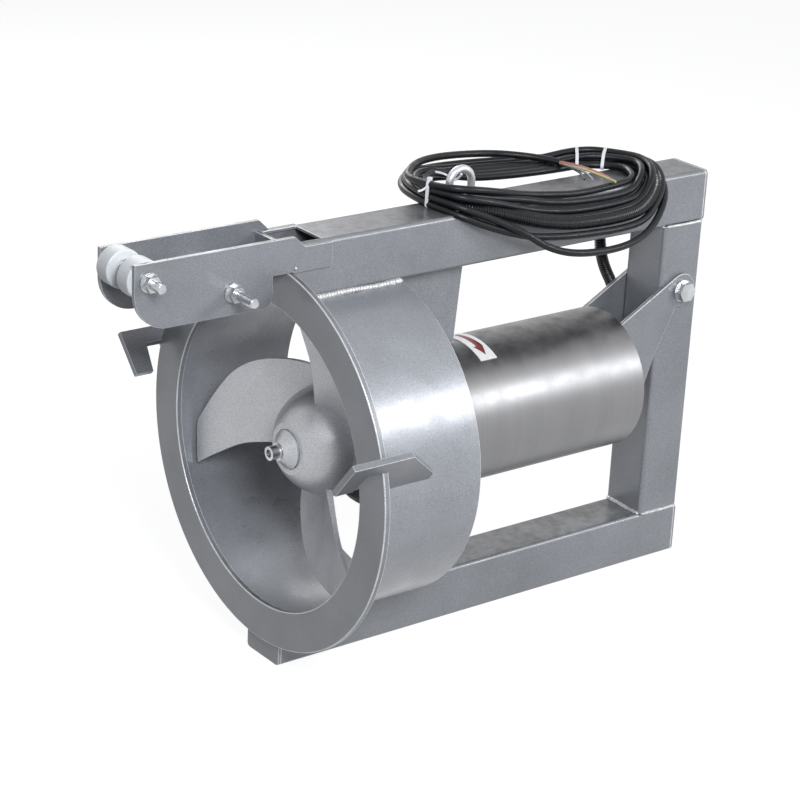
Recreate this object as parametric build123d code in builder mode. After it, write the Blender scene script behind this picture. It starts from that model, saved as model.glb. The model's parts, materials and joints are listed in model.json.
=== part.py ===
from build123d import *
import os
from math import asin, atan2, cos, degrees, hypot, radians, sin, sqrt, tan

# Sludge return pump: a shrouded propeller on a submersible motor, in a frame of square tube.
# Millimetres. The origin is the centre of the discharge flange's front face on the pump axis.
# +X runs back along the axis to the motor, +Z is up and -Y is the near side.

os.makedirs("parts", exist_ok=True)

# Discharge flange and shroud tube
flange_diameter = 500
flange_width = 51
flange_thickness = 8
tube_diameter = 418
tube_wall = 5
tube_length = 167

# Frame of square tube
beam_side = 70
beam_wall = 4
beam_corner = 6
cap_thickness = 4
frame_rear = 684
beam_cut_length = 48
beam_cut_side = 8

# Guide bracket with its rollers
bracket_plate = 6
bracket_front = -212
bracket_rise = 41
bracket_height = 82
bracket_tongue_drop = 2
bracket_tongue_height = 30
bracket_tongue_end = 63
bracket_chamfer = 15
bracket_lobe_end = -22.5
bracket_nose_radius = 46
bracket_lobe_radius = 14
cross_plate_thickness = 6
cross_plate_rise = 28
roller_diameter = 48
roller_length = 24
roller_recess_diameter = 24
roller_recess_depth = 5
roller_round = 2
front_axle_x = -194
front_axle_drop = 22
rear_axle_x = -79
rear_axle_drop = 54
axle_diameter = 12
front_axle_reach = 31
rear_axle_reach = 47

# Coupling hooks
hook_plate = 8
hook_root_angle = 8.25
hook_lean_angle = 49.5
hook_throat = 22
hook_leg = 29
hook_crown = 24
hook_grip = 36.5
hook_rear_top = 32
hook_rear_root = 95
hook_rear_heel = 10

# Motor and its hangers
motor_diameter = 190
barrel_wall = 5
housing_front = 130
barrel_front = 230
barrel_rear = 544.5
housing_wall = 8
housing_nose = 12
housing_chamfer = 14
web_thickness = 8
web_rear = 296
web_slope = 9
cheek_plate = 6
cheek_top = 86
cheek_bottom = -60
cheek_eye_radius = 23
cheek_back_points = [(641, 94), (609, 31), (595, -9)]
pivot_diameter = 16
pivot_x = 649
pivot_z = 117
cover_thickness = 8

# Impeller and shaft
hub_front = 36
hub_rear = 125
hub_radius = 70
hub_nose_radius = 33
hub_bulge_x = 60
hub_bulge_radius = 59
hub_shoulder_x = 86
cap_rim_radius = 25
cap_nose_radius = 10
cap_nose_x = 22
cap_seat_x = 38
blade_count = 3
blade_tip_radius = 198
blade_start_angle = 253.5
blade_root_x = 62
blade_root_inner = 20
blade_rake = 0.28
blade_lead = 195
blade_root_thickness = 10
blade_tip_thickness = 2.5
shaft_nose_diameter = 30
shaft_seal_diameter = 35
shaft_core_diameter = 40
shaft_nose_x = 50
cap_bolt_diameter = 12
cap_bolt_bite = 38
cap_bolt_hole_depth = 45
key_width = 8
key_height = 7
key_length = 40

# Motor's inner parts
stator_length = 120
stator_front = 300
stator_bore = 110
air_gap = 0.5
slot_count = 24
slot_width = 6
slot_depth = 18
coil_overhang = 25
front_bearing_x = 209
front_bearing_width = 21
front_bearing_outer = 80
rear_bearing_x = 490
rear_bearing_width = 19
rear_bearing_outer = 72
o_ring_section = 3

# Lifting eye
eye_bar = 10
eye_width = 45
eye_height = 52
eye_rear = 309

# Cable
sleeve_diameter = 15.8
gland_y = 62
gland_z = 40
gland_exit_x = 557
hank_front = 230
hank_rear = 620
hank_far = 138
hank_near = -103
hank_band = 72
hank_height = 25
hank_pile_band = 22
hank_pile_height = 46
hank_pile_rear = 300
hank_rest_gap = 2
cable_bend_share = 0.45
tie_width = 4
tie_thickness = 1.4

# Clearances
fit_gap = 0.05
seat_gap = 0.2
play = 0.3

# Places worked out from the sizes above
tube_radius = tube_diameter / 2
flange_radius = flange_diameter / 2
flange_bore_radius = flange_radius - flange_width
motor_radius = motor_diameter / 2
frame_front = flange_thickness
tube_rear = flange_thickness + tube_length
beam_half = beam_side / 2
beam_centre = tube_radius + beam_half
beam_top = tube_radius + beam_side
column_x = frame_rear - beam_half
bracket_top = flange_radius + bracket_rise
bracket_bottom = bracket_top - bracket_height
bracket_tongue_top = beam_top - bracket_tongue_drop
bracket_tongue_bottom = bracket_tongue_top - bracket_tongue_height
bracket_outer = beam_half + bracket_plate
bracket_seat = sqrt(flange_radius**2 - beam_half**2) + seat_gap
front_axle_z = bracket_top - front_axle_drop
rear_axle_z = bracket_top - rear_axle_drop
roller_radius = roller_diameter / 2
barrel_bore = motor_radius - barrel_wall
housing_bore = motor_radius - housing_wall
stator_rear = stator_front + stator_length
groove_depth = o_ring_section + 2 * seat_gap
groove_width = o_ring_section + 2 * seat_gap


def side(y):
    """Return the plane in X and Z at the given y, with its normal towards -Y."""
    return Plane.XZ.offset(-y)


def across(x):
    """Return the plane in Y and Z at the given x, with its normal towards +X."""
    return Plane.YZ.offset(x)


def radial(x, distance, angle):
    """Return the plane square to a radius of the pump axis, the angle clockwise from the top."""
    outward = Vector(0, -sin(radians(angle)), cos(radians(angle)))
    return Plane(origin=Vector(x, 0, 0) + outward * distance, x_dir=(1, 0, 0), z_dir=outward)


# Shroud tube and discharge flange
with BuildPart() as shroud_tube:
    with BuildSketch(across(flange_thickness)):
        Circle(tube_radius)
        Circle(tube_radius - tube_wall, mode=Mode.SUBTRACT)
    extrude(amount=tube_length)

with BuildPart() as front_flange:
    with BuildSketch(across(0)):
        Circle(flange_radius)
        Circle(flange_bore_radius, mode=Mode.SUBTRACT)
    extrude(amount=flange_thickness)
    chamfer(front_flange.edges().filter_by(GeomType.CIRCLE), 0.8)

# Bottom beam, top beam and column
with BuildPart() as bottom_beam:
    with BuildSketch(across(frame_front + cap_thickness)):
        with Locations((0, -beam_centre)):
            RectangleRounded(beam_side, beam_side, beam_corner)
            RectangleRounded(
                beam_side - 2 * beam_wall, beam_side - 2 * beam_wall, beam_corner - beam_wall, mode=Mode.SUBTRACT
            )
    extrude(amount=frame_rear - frame_front - 2 * cap_thickness)

with BuildPart() as top_beam:
    with BuildSketch(across(frame_front)):
        with Locations((0, beam_centre)):
            RectangleRounded(beam_side, beam_side, beam_corner)
            RectangleRounded(
                beam_side - 2 * beam_wall, beam_side - 2 * beam_wall, beam_corner - beam_wall, mode=Mode.SUBTRACT
            )
    extrude(amount=frame_rear - frame_front - cap_thickness)
    # Front end of the top wall, cut away between the side walls
    with BuildSketch(Plane.XY.offset(beam_centre)):
        with Locations((frame_front, 0)):
            Rectangle(beam_cut_length, beam_side - 2 * beam_cut_side, align=(Align.MIN, Align.CENTER))
    extrude(amount=beam_side, mode=Mode.SUBTRACT)

with BuildPart() as rear_column:
    with BuildSketch(Plane.XY.offset(-tube_radius)):
        with Locations((column_x, 0)):
            RectangleRounded(beam_side, beam_side, beam_corner)
            RectangleRounded(
                beam_side - 2 * beam_wall, beam_side - 2 * beam_wall, beam_corner - beam_wall, mode=Mode.SUBTRACT
            )
    extrude(amount=tube_diameter)
    # Hole of the pivot bolt through both side walls
    with BuildSketch(side(beam_half)):
        with Locations((pivot_x, pivot_z)):
            Circle(pivot_diameter / 2 + play)
    extrude(amount=beam_side, mode=Mode.SUBTRACT)

with BuildPart() as end_caps:
    for cap_x, cap_z in (
        (frame_front, -beam_centre),
        (frame_rear - cap_thickness, -beam_centre),
        (frame_rear - cap_thickness, beam_centre),
    ):
        with BuildSketch(across(cap_x)):
            with Locations((0, cap_z)):
                RectangleRounded(beam_side, beam_side, beam_corner)
        extrude(amount=cap_thickness)

# Lifting eye on the top beam
eye_centre_radius = (eye_width - eye_bar) / 2
eye_arc_z = beam_top + eye_height - eye_bar / 2 - eye_centre_radius
with BuildPart() as lifting_eye:
    with BuildLine(Plane.XZ) as eye_path:
        Line((eye_rear - eye_bar / 2, beam_top), (eye_rear - eye_bar / 2, eye_arc_z))
        ThreePointArc(
            (eye_rear - eye_bar / 2, eye_arc_z),
            (eye_rear - eye_width / 2, eye_arc_z + eye_centre_radius),
            (eye_rear - eye_width + eye_bar / 2, eye_arc_z),
        )
        Line(
            (eye_rear - eye_width + eye_bar / 2, eye_arc_z),
            (eye_rear - eye_width + eye_bar / 2, beam_top),
        )
    with BuildSketch(Plane(origin=(eye_rear - eye_bar / 2, 0, beam_top), z_dir=(0, 0, 1))):
        Circle(eye_bar / 2)
    sweep(path=eye_path.line)

# Guide bracket: two side plates outside the beam and a cross plate over the flange
chamfer_end = flange_thickness + bracket_chamfer
with BuildPart() as roller_plate_near:
    with BuildSketch(side(-beam_half)):
        with BuildLine():
            Polyline(
                (bracket_front, bracket_top),
                (flange_thickness, bracket_top),
                (chamfer_end, bracket_tongue_top),
                (bracket_tongue_end, bracket_tongue_top),
                (bracket_tongue_end, bracket_tongue_bottom),
                (flange_thickness + seat_gap, bracket_tongue_bottom),
                (flange_thickness + seat_gap, bracket_seat),
                (bracket_lobe_end, bracket_seat),
                (bracket_lobe_end, bracket_bottom),
                (bracket_front, bracket_bottom),
                close=True,
            )
        make_face()
        with Locations((front_axle_x, front_axle_z), (rear_axle_x, rear_axle_z)):
            Circle(axle_diameter / 2 + fit_gap, mode=Mode.SUBTRACT)
    extrude(amount=bracket_plate)
    upright_edges = roller_plate_near.edges().filter_by(Axis.Y)
    fillet(upright_edges.group_by(Axis.Z)[0].sort_by(Axis.X)[:1], bracket_nose_radius)
    upright_edges = roller_plate_near.edges().filter_by(Axis.Y).filter_by(GeomType.LINE)
    fillet(upright_edges.group_by(Axis.Z)[0].sort_by(Axis.X)[-1:], bracket_lobe_radius)

with BuildPart() as roller_plate_far:
    mirror(roller_plate_near.part, about=Plane.XZ)

cross_plate_top = flange_radius + cross_plate_rise
with BuildPart() as cross_plate:
    with BuildSketch(across(frame_front - cross_plate_thickness)):
        with Locations((0, cross_plate_top)):
            Rectangle(beam_side, flange_radius, align=(Align.CENTER, Align.MAX))
        Circle(flange_radius + seat_gap, mode=Mode.SUBTRACT)
    extrude(amount=cross_plate_thickness)

# Four guide rollers, each with a round recess at its inner end
rollers = {}
for row, axle_x, axle_z in (("front", front_axle_x, front_axle_z), ("rear", rear_axle_x, rear_axle_z)):
    for which, outward in (("near", -1), ("far", 1)):
        outer_face = outward * (beam_half - play)
        inner_face = outer_face - outward * roller_length
        with BuildPart() as roller:
            with BuildSketch(side(max(outer_face, inner_face))):
                with Locations((axle_x, axle_z)):
                    Circle(roller_radius)
            extrude(amount=roller_length)
            fillet(roller.edges(), roller_round)
            with BuildSketch(side(max(outer_face, inner_face))):
                with Locations((axle_x, axle_z)):
                    Circle(axle_diameter / 2 + fit_gap)
            extrude(amount=roller_length, mode=Mode.SUBTRACT)
            with BuildSketch(side(inner_face)):
                with Locations((axle_x, axle_z)):
                    Circle(roller_recess_diameter / 2)
            extrude(amount=-outward * roller_recess_depth, mode=Mode.SUBTRACT)
        rollers[f"roller_{row}_{which}"] = roller

# Roller axles: hexagon bolts with the head on the far side and the nut on the near side
axle_head_width = 1.5 * axle_diameter
axle_head_height = 0.65 * axle_diameter
axle_nut_height = 0.85 * axle_diameter
washer_thickness = 2.5
axles = {}
for row, axle_x, axle_z, reach in (
    ("front", front_axle_x, front_axle_z, front_axle_reach),
    ("rear", rear_axle_x, rear_axle_z, rear_axle_reach),
):
    with BuildPart() as axle:
        with BuildSketch(side(bracket_outer + washer_thickness + axle_head_height)):
            with Locations((axle_x, axle_z)):
                RegularPolygon(axle_head_width / 2, 6, major_radius=False)
        extrude(amount=axle_head_height)
        with BuildSketch(side(bracket_outer + washer_thickness)):
            with Locations((axle_x, axle_z)):
                Circle(axle_diameter / 2)
        extrude(amount=2 * bracket_outer + washer_thickness + reach)
        chamfer(axle.edges().filter_by(GeomType.CIRCLE).sort_by(Axis.Y)[0], 1)
    axles[f"roller_bolt_{row}"] = axle

with BuildPart() as roller_nuts:
    for axle_x, axle_z in ((front_axle_x, front_axle_z), (rear_axle_x, rear_axle_z)):
        with BuildSketch(side(-bracket_outer - washer_thickness)):
            with Locations((axle_x, axle_z)):
                RegularPolygon(axle_head_width / 2, 6, major_radius=False)
                Circle(axle_diameter / 2 + fit_gap, mode=Mode.SUBTRACT)
        extrude(amount=axle_nut_height)

with BuildPart() as roller_washers:
    for axle_x, axle_z in ((front_axle_x, front_axle_z), (rear_axle_x, rear_axle_z)):
        for washer_y in (bracket_outer + washer_thickness, -bracket_outer):
            with BuildSketch(side(washer_y)):
                with Locations((axle_x, axle_z)):
                    Circle(axle_diameter)
                    Circle(axle_diameter / 2 + fit_gap, mode=Mode.SUBTRACT)
            extrude(amount=washer_thickness)

# Coupling hooks: leaning plates slotted over the flange and seated on the tube
root_height = radians(hook_root_angle)
lean = radians(hook_lean_angle)
hook_plane = Plane(
    origin=(0, -tube_radius * cos(root_height), tube_radius * sin(root_height)),
    x_dir=(1, 0, 0),
    z_dir=(0, -sin(lean), -cos(lean)),
)
lean_from_radius = lean - root_height
flange_height = sqrt(flange_radius**2 - (tube_radius * sin(lean_from_radius)) ** 2) - tube_radius * cos(
    lean_from_radius
)
hook_top = flange_height + hook_crown
hook_front = -hook_throat - hook_leg
with BuildPart() as hook_near:
    with BuildSketch(hook_plane.offset(-hook_plate / 2)):
        with BuildLine():
            Polyline(
                (-hook_throat, flange_height),
                (-hook_throat - 4, flange_height - hook_grip),
                (hook_front, flange_height - hook_grip),
                (hook_front - 2, hook_top),
                (hook_rear_top, hook_top),
                (hook_rear_root, hook_rear_heel),
                (hook_rear_root, -hook_plate),
                (0, -hook_plate),
                (0, flange_height),
                close=True,
            )
        make_face()
    extrude(amount=hook_plate)
    with BuildSketch(across(-hook_throat)):
        Circle(flange_radius + seat_gap)
    extrude(amount=hook_throat + flange_thickness + seat_gap, mode=Mode.SUBTRACT)
    with BuildSketch(across(0)):
        Circle(tube_radius + seat_gap)
    extrude(amount=tube_rear, mode=Mode.SUBTRACT)

with BuildPart() as hook_far:
    mirror(hook_near.part, about=Plane.XZ)

# Front web: hangs the motor from the top beam
with BuildPart() as front_web:
    with BuildSketch(side(web_thickness / 2)):
        with BuildLine():
            Polyline(
                (tube_rear, tube_radius),
                (web_rear, tube_radius),
                (web_rear - web_slope, motor_radius),
                (tube_rear, motor_radius),
                close=True,
            )
        make_face()
    extrude(amount=web_thickness)

# Cheek plates from the column to the motor's rear end
eye_tangent = atan2(pivot_z - cheek_top, pivot_x - barrel_rear) + asin(
    cheek_eye_radius / hypot(pivot_z - cheek_top, pivot_x - barrel_rear)
)
cheek_tangent_point = (
    pivot_x - cheek_eye_radius * sin(eye_tangent),
    pivot_z + cheek_eye_radius * cos(eye_tangent),
)
with BuildPart() as cheek_plate_near:
    with BuildSketch(side(-beam_half)):
        with BuildLine():
            Polyline(
                (barrel_rear, cheek_bottom),
                (barrel_rear, cheek_top),
                cheek_tangent_point,
                (pivot_x, pivot_z),
                *cheek_back_points,
                close=True,
            )
        make_face()
        with Locations((pivot_x, pivot_z)):
            Circle(cheek_eye_radius)
            Circle(pivot_diameter / 2 + fit_gap, mode=Mode.SUBTRACT)
    extrude(amount=cheek_plate)

with BuildPart() as cheek_plate_far:
    mirror(cheek_plate_near.part, about=Plane.XZ)

# Pivot bolt through the column, with its nut and washers
cheek_outer = beam_half + cheek_plate
pivot_head_width = 1.5 * pivot_diameter
pivot_head_height = 0.63 * pivot_diameter
pivot_nut_height = 0.8 * pivot_diameter
pivot_washer = 3
with BuildPart() as pivot_bolt:
    with BuildSketch(side(-cheek_outer - pivot_washer)):
        with Locations((pivot_x, pivot_z)):
            RegularPolygon(pivot_head_width / 2, 6, major_radius=False)
    extrude(amount=pivot_head_height)
    with BuildSketch(side(cheek_outer + pivot_washer + 1.3 * pivot_nut_height)):
        with Locations((pivot_x, pivot_z)):
            Circle(pivot_diameter / 2)
    extrude(amount=2 * cheek_outer + 2 * pivot_washer + 1.3 * pivot_nut_height)

with BuildPart() as pivot_nut:
    with BuildSketch(side(cheek_outer + pivot_washer + pivot_nut_height)):
        with Locations((pivot_x, pivot_z)):
            RegularPolygon(pivot_head_width / 2, 6, major_radius=False)
            Circle(pivot_diameter / 2 + fit_gap, mode=Mode.SUBTRACT)
    extrude(amount=pivot_nut_height)

with BuildPart() as pivot_washers:
    for washer_y in (cheek_outer + pivot_washer, -cheek_outer):
        with BuildSketch(side(washer_y)):
            with Locations((pivot_x, pivot_z)):
                Circle(0.95 * pivot_diameter)
                Circle(pivot_diameter / 2 + fit_gap, mode=Mode.SUBTRACT)
        extrude(amount=pivot_washer)

# Motor barrel
with BuildPart() as motor_barrel:
    with BuildSketch(across(barrel_front)):
        Circle(motor_radius)
        Circle(barrel_bore, mode=Mode.SUBTRACT)
    extrude(amount=barrel_rear - barrel_front)

# Front housing: the oil chamber between the motor and the impeller
seal_bore = shaft_seal_diameter / 2 + 10.5
housing_screw_x = barrel_front - 8
housing_screw_count = 6
housing_screw_diameter = 8
plug_x = 172
plug_angle = 270
plug_diameter = 16
with BuildPart() as front_housing:
    with BuildSketch(Plane.XY):
        with BuildLine():
            Polyline(
                (housing_front, seal_bore),
                (housing_front, motor_radius - housing_chamfer),
                (housing_front + housing_chamfer, motor_radius),
                (barrel_front, motor_radius),
                (barrel_front, housing_bore),
                (housing_front + housing_nose, housing_bore),
                (housing_front + housing_nose, seal_bore),
                close=True,
            )
        make_face()
    revolve(axis=Axis.X)
    # Counterbored holes of the screws that hold the bearing bracket
    for index in range(housing_screw_count):
        with BuildSketch(radial(housing_screw_x, housing_bore - 2, 30 + index * 360 / housing_screw_count)):
            Circle(housing_screw_diameter / 2 + fit_gap)
        extrude(amount=housing_wall + 4, mode=Mode.SUBTRACT)
        with BuildSketch(radial(housing_screw_x, motor_radius - 5, 30 + index * 360 / housing_screw_count)):
            Circle(0.85 * housing_screw_diameter)
        extrude(amount=8, mode=Mode.SUBTRACT)
    # Spot face and hole of the oil plug
    with BuildSketch(radial(plug_x, housing_bore - 2, plug_angle)):
        Circle(plug_diameter / 2 + fit_gap)
    extrude(amount=housing_wall + 4, mode=Mode.SUBTRACT)
    with BuildSketch(radial(plug_x, motor_radius - 2, plug_angle)):
        Circle(0.8 * plug_diameter)
    extrude(amount=8, mode=Mode.SUBTRACT)

with BuildPart() as oil_plug:
    with BuildSketch(radial(plug_x, housing_bore - 2, plug_angle)):
        Circle(plug_diameter / 2)
    extrude(amount=motor_radius - housing_bore)
    with BuildSketch(radial(plug_x, motor_radius - 2, plug_angle)):
        Circle(0.7 * plug_diameter)
    extrude(amount=5)
    with BuildSketch(radial(plug_x, motor_radius - 1, plug_angle)):
        RegularPolygon(0.25 * plug_diameter, 6, major_radius=False)
    extrude(amount=6, mode=Mode.SUBTRACT)

# Bearing bracket that closes the oil chamber and carries the front bearing
bracket_wall = 9
lip_seal_bore = 24
with BuildPart() as bearing_bracket:
    with BuildSketch(Plane.XY):
        with BuildLine():
            Polyline(
                (front_bearing_x - bracket_wall, lip_seal_bore),
                (front_bearing_x - bracket_wall, housing_bore - fit_gap),
                (barrel_front, housing_bore - fit_gap),
                (barrel_front, barrel_bore - fit_gap),
                (barrel_front + 6, barrel_bore - fit_gap),
                (barrel_front + 6, front_bearing_outer / 2),
                (front_bearing_x, front_bearing_outer / 2),
                (front_bearing_x, lip_seal_bore),
                close=True,
            )
        make_face()
    revolve(axis=Axis.X)
    for index in range(housing_screw_count):
        with BuildSketch(radial(housing_screw_x, housing_bore - 16, 30 + index * 360 / housing_screw_count)):
            Circle(housing_screw_diameter / 2 + fit_gap)
        extrude(amount=20, mode=Mode.SUBTRACT)
    with BuildSketch(Plane.XY):
        with Locations((front_bearing_x - bracket_wall / 2, housing_bore)):
            Rectangle(groove_width, 2 * groove_depth)
    revolve(axis=Axis.X, mode=Mode.SUBTRACT)

with BuildPart() as housing_screws:
    for index in range(housing_screw_count):
        screw_angle = 30 + index * 360 / housing_screw_count
        with BuildSketch(radial(housing_screw_x, housing_bore - 14, screw_angle)):
            Circle(housing_screw_diameter / 2)
        extrude(amount=motor_radius - 5 - housing_bore + 14)
        with BuildSketch(radial(housing_screw_x, motor_radius - 5, screw_angle)):
            Circle(0.75 * housing_screw_diameter)
            RegularPolygon(0.35 * housing_screw_diameter, 6, major_radius=False, mode=Mode.SUBTRACT)
        extrude(amount=4.5)

# Rear bearing bracket inside the barrel
rear_ring_bore = 72
with BuildPart() as rear_bracket:
    with BuildSketch(Plane.XY):
        with BuildLine():
            Polyline(
                (rear_bearing_x - 6, 20),
                (rear_bearing_x - 6, barrel_bore - fit_gap),
                (barrel_rear - cover_thickness, barrel_bore - fit_gap),
                (barrel_rear - cover_thickness, rear_ring_bore),
                (rear_bearing_x, rear_ring_bore),
                (rear_bearing_x, rear_bearing_outer / 2 + 10),
                (rear_bearing_x + rear_bearing_width, rear_bearing_outer / 2 + 10),
                (rear_bearing_x + rear_bearing_width, rear_bearing_outer / 2),
                (rear_bearing_x, rear_bearing_outer / 2),
                (rear_bearing_x, 20),
                close=True,
            )
        make_face()
    revolve(axis=Axis.X)

# Rear cover with its screws
cover_screw_count = 6
cover_screw_diameter = 6
cover_screw_circle = 162
cover_screw_start = 75
cover_radius = barrel_bore - fit_gap
with BuildPart() as rear_cover:
    with BuildSketch(across(barrel_rear - cover_thickness)):
        Circle(cover_radius)
        with Locations((gland_y, gland_z)):
            Circle(10, mode=Mode.SUBTRACT)
        with PolarLocations(cover_screw_circle / 2, cover_screw_count, start_angle=cover_screw_start):
            Circle(cover_screw_diameter / 2 + fit_gap, mode=Mode.SUBTRACT)
    extrude(amount=cover_thickness)
    with BuildSketch(Plane.XY):
        with Locations((barrel_rear - cover_thickness / 2, cover_radius)):
            Rectangle(groove_width, 2 * groove_depth)
    revolve(axis=Axis.X, mode=Mode.SUBTRACT)

with BuildPart() as cover_screws:
    with BuildSketch(across(barrel_rear)):
        with PolarLocations(cover_screw_circle / 2, cover_screw_count, start_angle=cover_screw_start):
            Circle(0.85 * cover_screw_diameter)
            RegularPolygon(0.42 * cover_screw_diameter, 6, major_radius=False, mode=Mode.SUBTRACT)
    extrude(amount=cover_screw_diameter)
    with BuildSketch(across(barrel_rear - cover_thickness)):
        with PolarLocations(cover_screw_circle / 2, cover_screw_count, start_angle=cover_screw_start):
            Circle(cover_screw_diameter / 2)
    extrude(amount=cover_thickness)

with BuildPart() as o_rings:
    for ring_x, ring_bore in (
        (front_bearing_x - bracket_wall / 2, housing_bore),
        (barrel_rear - cover_thickness / 2, barrel_bore),
    ):
        with BuildSketch(Plane.XY):
            with Locations((ring_x, ring_bore - o_ring_section / 2 - 0.1)):
                Circle(o_ring_section / 2 - fit_gap)
        revolve(axis=Axis.X)

# Arrow plate curved round the barrel
label_front = 299
label_width = 26
label_thickness = 0.8
label_half_span = 30
label_reach = 2 * motor_radius * sin(radians(label_half_span))
label_rise = 2 * motor_radius * cos(radians(label_half_span))
with BuildPart() as arrow_label:
    with BuildSketch(across(label_front)):
        Circle(motor_radius + label_thickness + fit_gap)
        Circle(motor_radius + fit_gap, mode=Mode.SUBTRACT)
        with BuildLine():
            Polyline((0, 0), (label_reach, label_rise), (-label_reach, label_rise), close=True)
        make_face(mode=Mode.INTERSECT)
    extrude(amount=label_width)

# Shaft: seat of the impeller, seal and front bearing seat, core seat, rear bearing seat
nose_radius = shaft_nose_diameter / 2
seal_radius = shaft_seal_diameter / 2
core_radius = shaft_core_diameter / 2
key_front = shaft_nose_x + 20
with BuildPart() as shaft:
    with BuildSketch(Plane.XY):
        with BuildLine():
            Polyline(
                (shaft_nose_x, cap_bolt_diameter / 2 + fit_gap),
                (shaft_nose_x, nose_radius),
                (hub_rear + 1, nose_radius),
                (hub_rear + 1, seal_radius),
                (front_bearing_x + front_bearing_width, seal_radius),
                (front_bearing_x + front_bearing_width, core_radius + 2),
                (front_bearing_x + front_bearing_width + 10, core_radius + 2),
                (front_bearing_x + front_bearing_width + 10, core_radius),
                (rear_bearing_x, core_radius),
                (rear_bearing_x, nose_radius),
                (rear_bearing_x + rear_bearing_width + 3, nose_radius),
                (rear_bearing_x + rear_bearing_width + 3, 0),
                (shaft_nose_x + cap_bolt_hole_depth, 0),
                (shaft_nose_x + cap_bolt_hole_depth, cap_bolt_diameter / 2 + fit_gap),
                close=True,
            )
        make_face()
    revolve(axis=Axis.X)
    with BuildSketch(Plane.XY.offset(nose_radius - key_height / 2)):
        with Locations((key_front, 0)):
            Rectangle(key_length, key_width + 2 * fit_gap, align=(Align.MIN, Align.CENTER))
    extrude(amount=key_height, mode=Mode.SUBTRACT)

with BuildPart() as impeller_key:
    with BuildSketch(Plane.XY.offset(nose_radius - key_height / 2)):
        with Locations((key_front, 0)):
            Rectangle(key_length, key_width, align=(Align.MIN, Align.CENTER))
    extrude(amount=key_height)

# Blade: a helicoid strip, thick at the hub, trimmed to the swept outline seen from the front
lead_per_degree = blade_lead / 360
strip_start_angle = 14
strip_angle = 122
strip_step_angle = 11
outline_shares = [-0.109, 0, 0.234, 0.391, 0.547, 0.703, 0.82, 0.898, 1]
outline_radii = [hub_radius + share * (blade_tip_radius - hub_radius) for share in outline_shares]
trailing_angles = [253.5, 253.5, 253.5, 252.8, 251, 249, 247.8, 247, 245.8]
leading_sweeps = [104, 100, 76, 61, 50, 39, 28, 22, 16]


def front_point(radius, angle):
    """Return the point in Y and Z at the radius and the angle clockwise from the top."""
    return (-radius * sin(radians(angle)), radius * cos(radians(angle)))


with BuildPart() as blade:
    for index in range(strip_angle // strip_step_angle + 1):
        turn = -strip_start_angle + index * strip_step_angle
        angle = radians(blade_start_angle + turn)
        section = Plane(origin=(0, 0, 0), x_dir=(0, -sin(angle), cos(angle)), z_dir=(0, cos(angle), sin(angle)))
        inner = hub_radius - 20
        outer = blade_tip_radius + 8
        inner_x = blade_root_x - blade_rake * (inner - hub_radius) + lead_per_degree * turn
        outer_x = blade_root_x - blade_rake * (outer - hub_radius) + lead_per_degree * turn
        with BuildSketch(section):
            with BuildLine():
                Polyline(
                    (inner, inner_x),
                    (outer, outer_x),
                    (outer, outer_x + blade_tip_thickness),
                    (inner, inner_x + blade_root_thickness),
                    close=True,
                )
            make_face()
    loft()
    with BuildSketch(across(0)):
        with BuildLine():
            Spline([front_point(r, a) for r, a in zip(outline_radii, trailing_angles)])
            tip_start = trailing_angles[-1]
            tip_end = tip_start + leading_sweeps[-1]
            ThreePointArc(
                front_point(blade_tip_radius, tip_start),
                front_point(blade_tip_radius, (tip_start + tip_end) / 2),
                front_point(blade_tip_radius, tip_end),
            )
            Spline([front_point(r, a + s) for r, a, s in zip(outline_radii, trailing_angles, leading_sweeps)])
            Line(
                front_point(outline_radii[0], trailing_angles[0] + leading_sweeps[0]),
                front_point(blade_root_inner, trailing_angles[0] + leading_sweeps[0]),
            )
            Line(
                front_point(blade_root_inner, trailing_angles[0] + leading_sweeps[0]),
                front_point(blade_root_inner, trailing_angles[0]),
            )
            Line(front_point(blade_root_inner, trailing_angles[0]), front_point(outline_radii[0], trailing_angles[0]))
        make_face()
    extrude(amount=hub_rear + 2 * blade_root_thickness, mode=Mode.INTERSECT)

# Impeller: hub with three blades
with BuildPart() as impeller:
    with BuildSketch(Plane.XY):
        with BuildLine():
            Line((hub_front, cap_rim_radius + 1), (hub_front, hub_nose_radius))
            ThreePointArc((hub_front, hub_nose_radius), (hub_bulge_x, hub_bulge_radius), (hub_shoulder_x, hub_radius))
            Polyline(
                (hub_shoulder_x, hub_radius),
                (hub_rear, hub_radius),
                (hub_rear, nose_radius + fit_gap),
                (cap_seat_x, nose_radius + fit_gap),
                (cap_seat_x, cap_rim_radius + 1),
                (hub_front, cap_rim_radius + 1),
            )
        make_face()
    revolve(axis=Axis.X)
    for index in range(blade_count):
        add(blade.part.rotate(Axis.X, index * 360 / blade_count))
    with BuildSketch(across(0)):
        Circle(nose_radius + fit_gap)
    extrude(amount=hub_rear, mode=Mode.SUBTRACT)
    with BuildSketch(across(hub_rear)):
        Circle(blade_tip_radius + 10)
    extrude(amount=40, mode=Mode.SUBTRACT)
    with BuildSketch(Plane.XY.offset(nose_radius - 2)):
        with Locations((cap_seat_x, 0)):
            Rectangle(hub_rear - cap_seat_x, key_width + 2 * fit_gap, align=(Align.MIN, Align.CENTER))
    extrude(amount=2 + key_height / 2 + play, mode=Mode.SUBTRACT)

# Nose cone with its bolt and washer
bolt_head_diameter = 1.5 * cap_bolt_diameter
cap_washer = 2
with BuildPart() as impeller_cap:
    with BuildSketch(Plane.XY):
        with BuildLine():
            Polyline(
                (cap_nose_x, cap_bolt_diameter / 2 + play),
                (cap_nose_x, cap_nose_radius + 2),
                (cap_seat_x - 4, cap_rim_radius),
                (cap_seat_x, cap_rim_radius),
                (cap_seat_x, cap_bolt_diameter / 2 + play),
                close=True,
            )
        make_face()
    revolve(axis=Axis.X)

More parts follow.
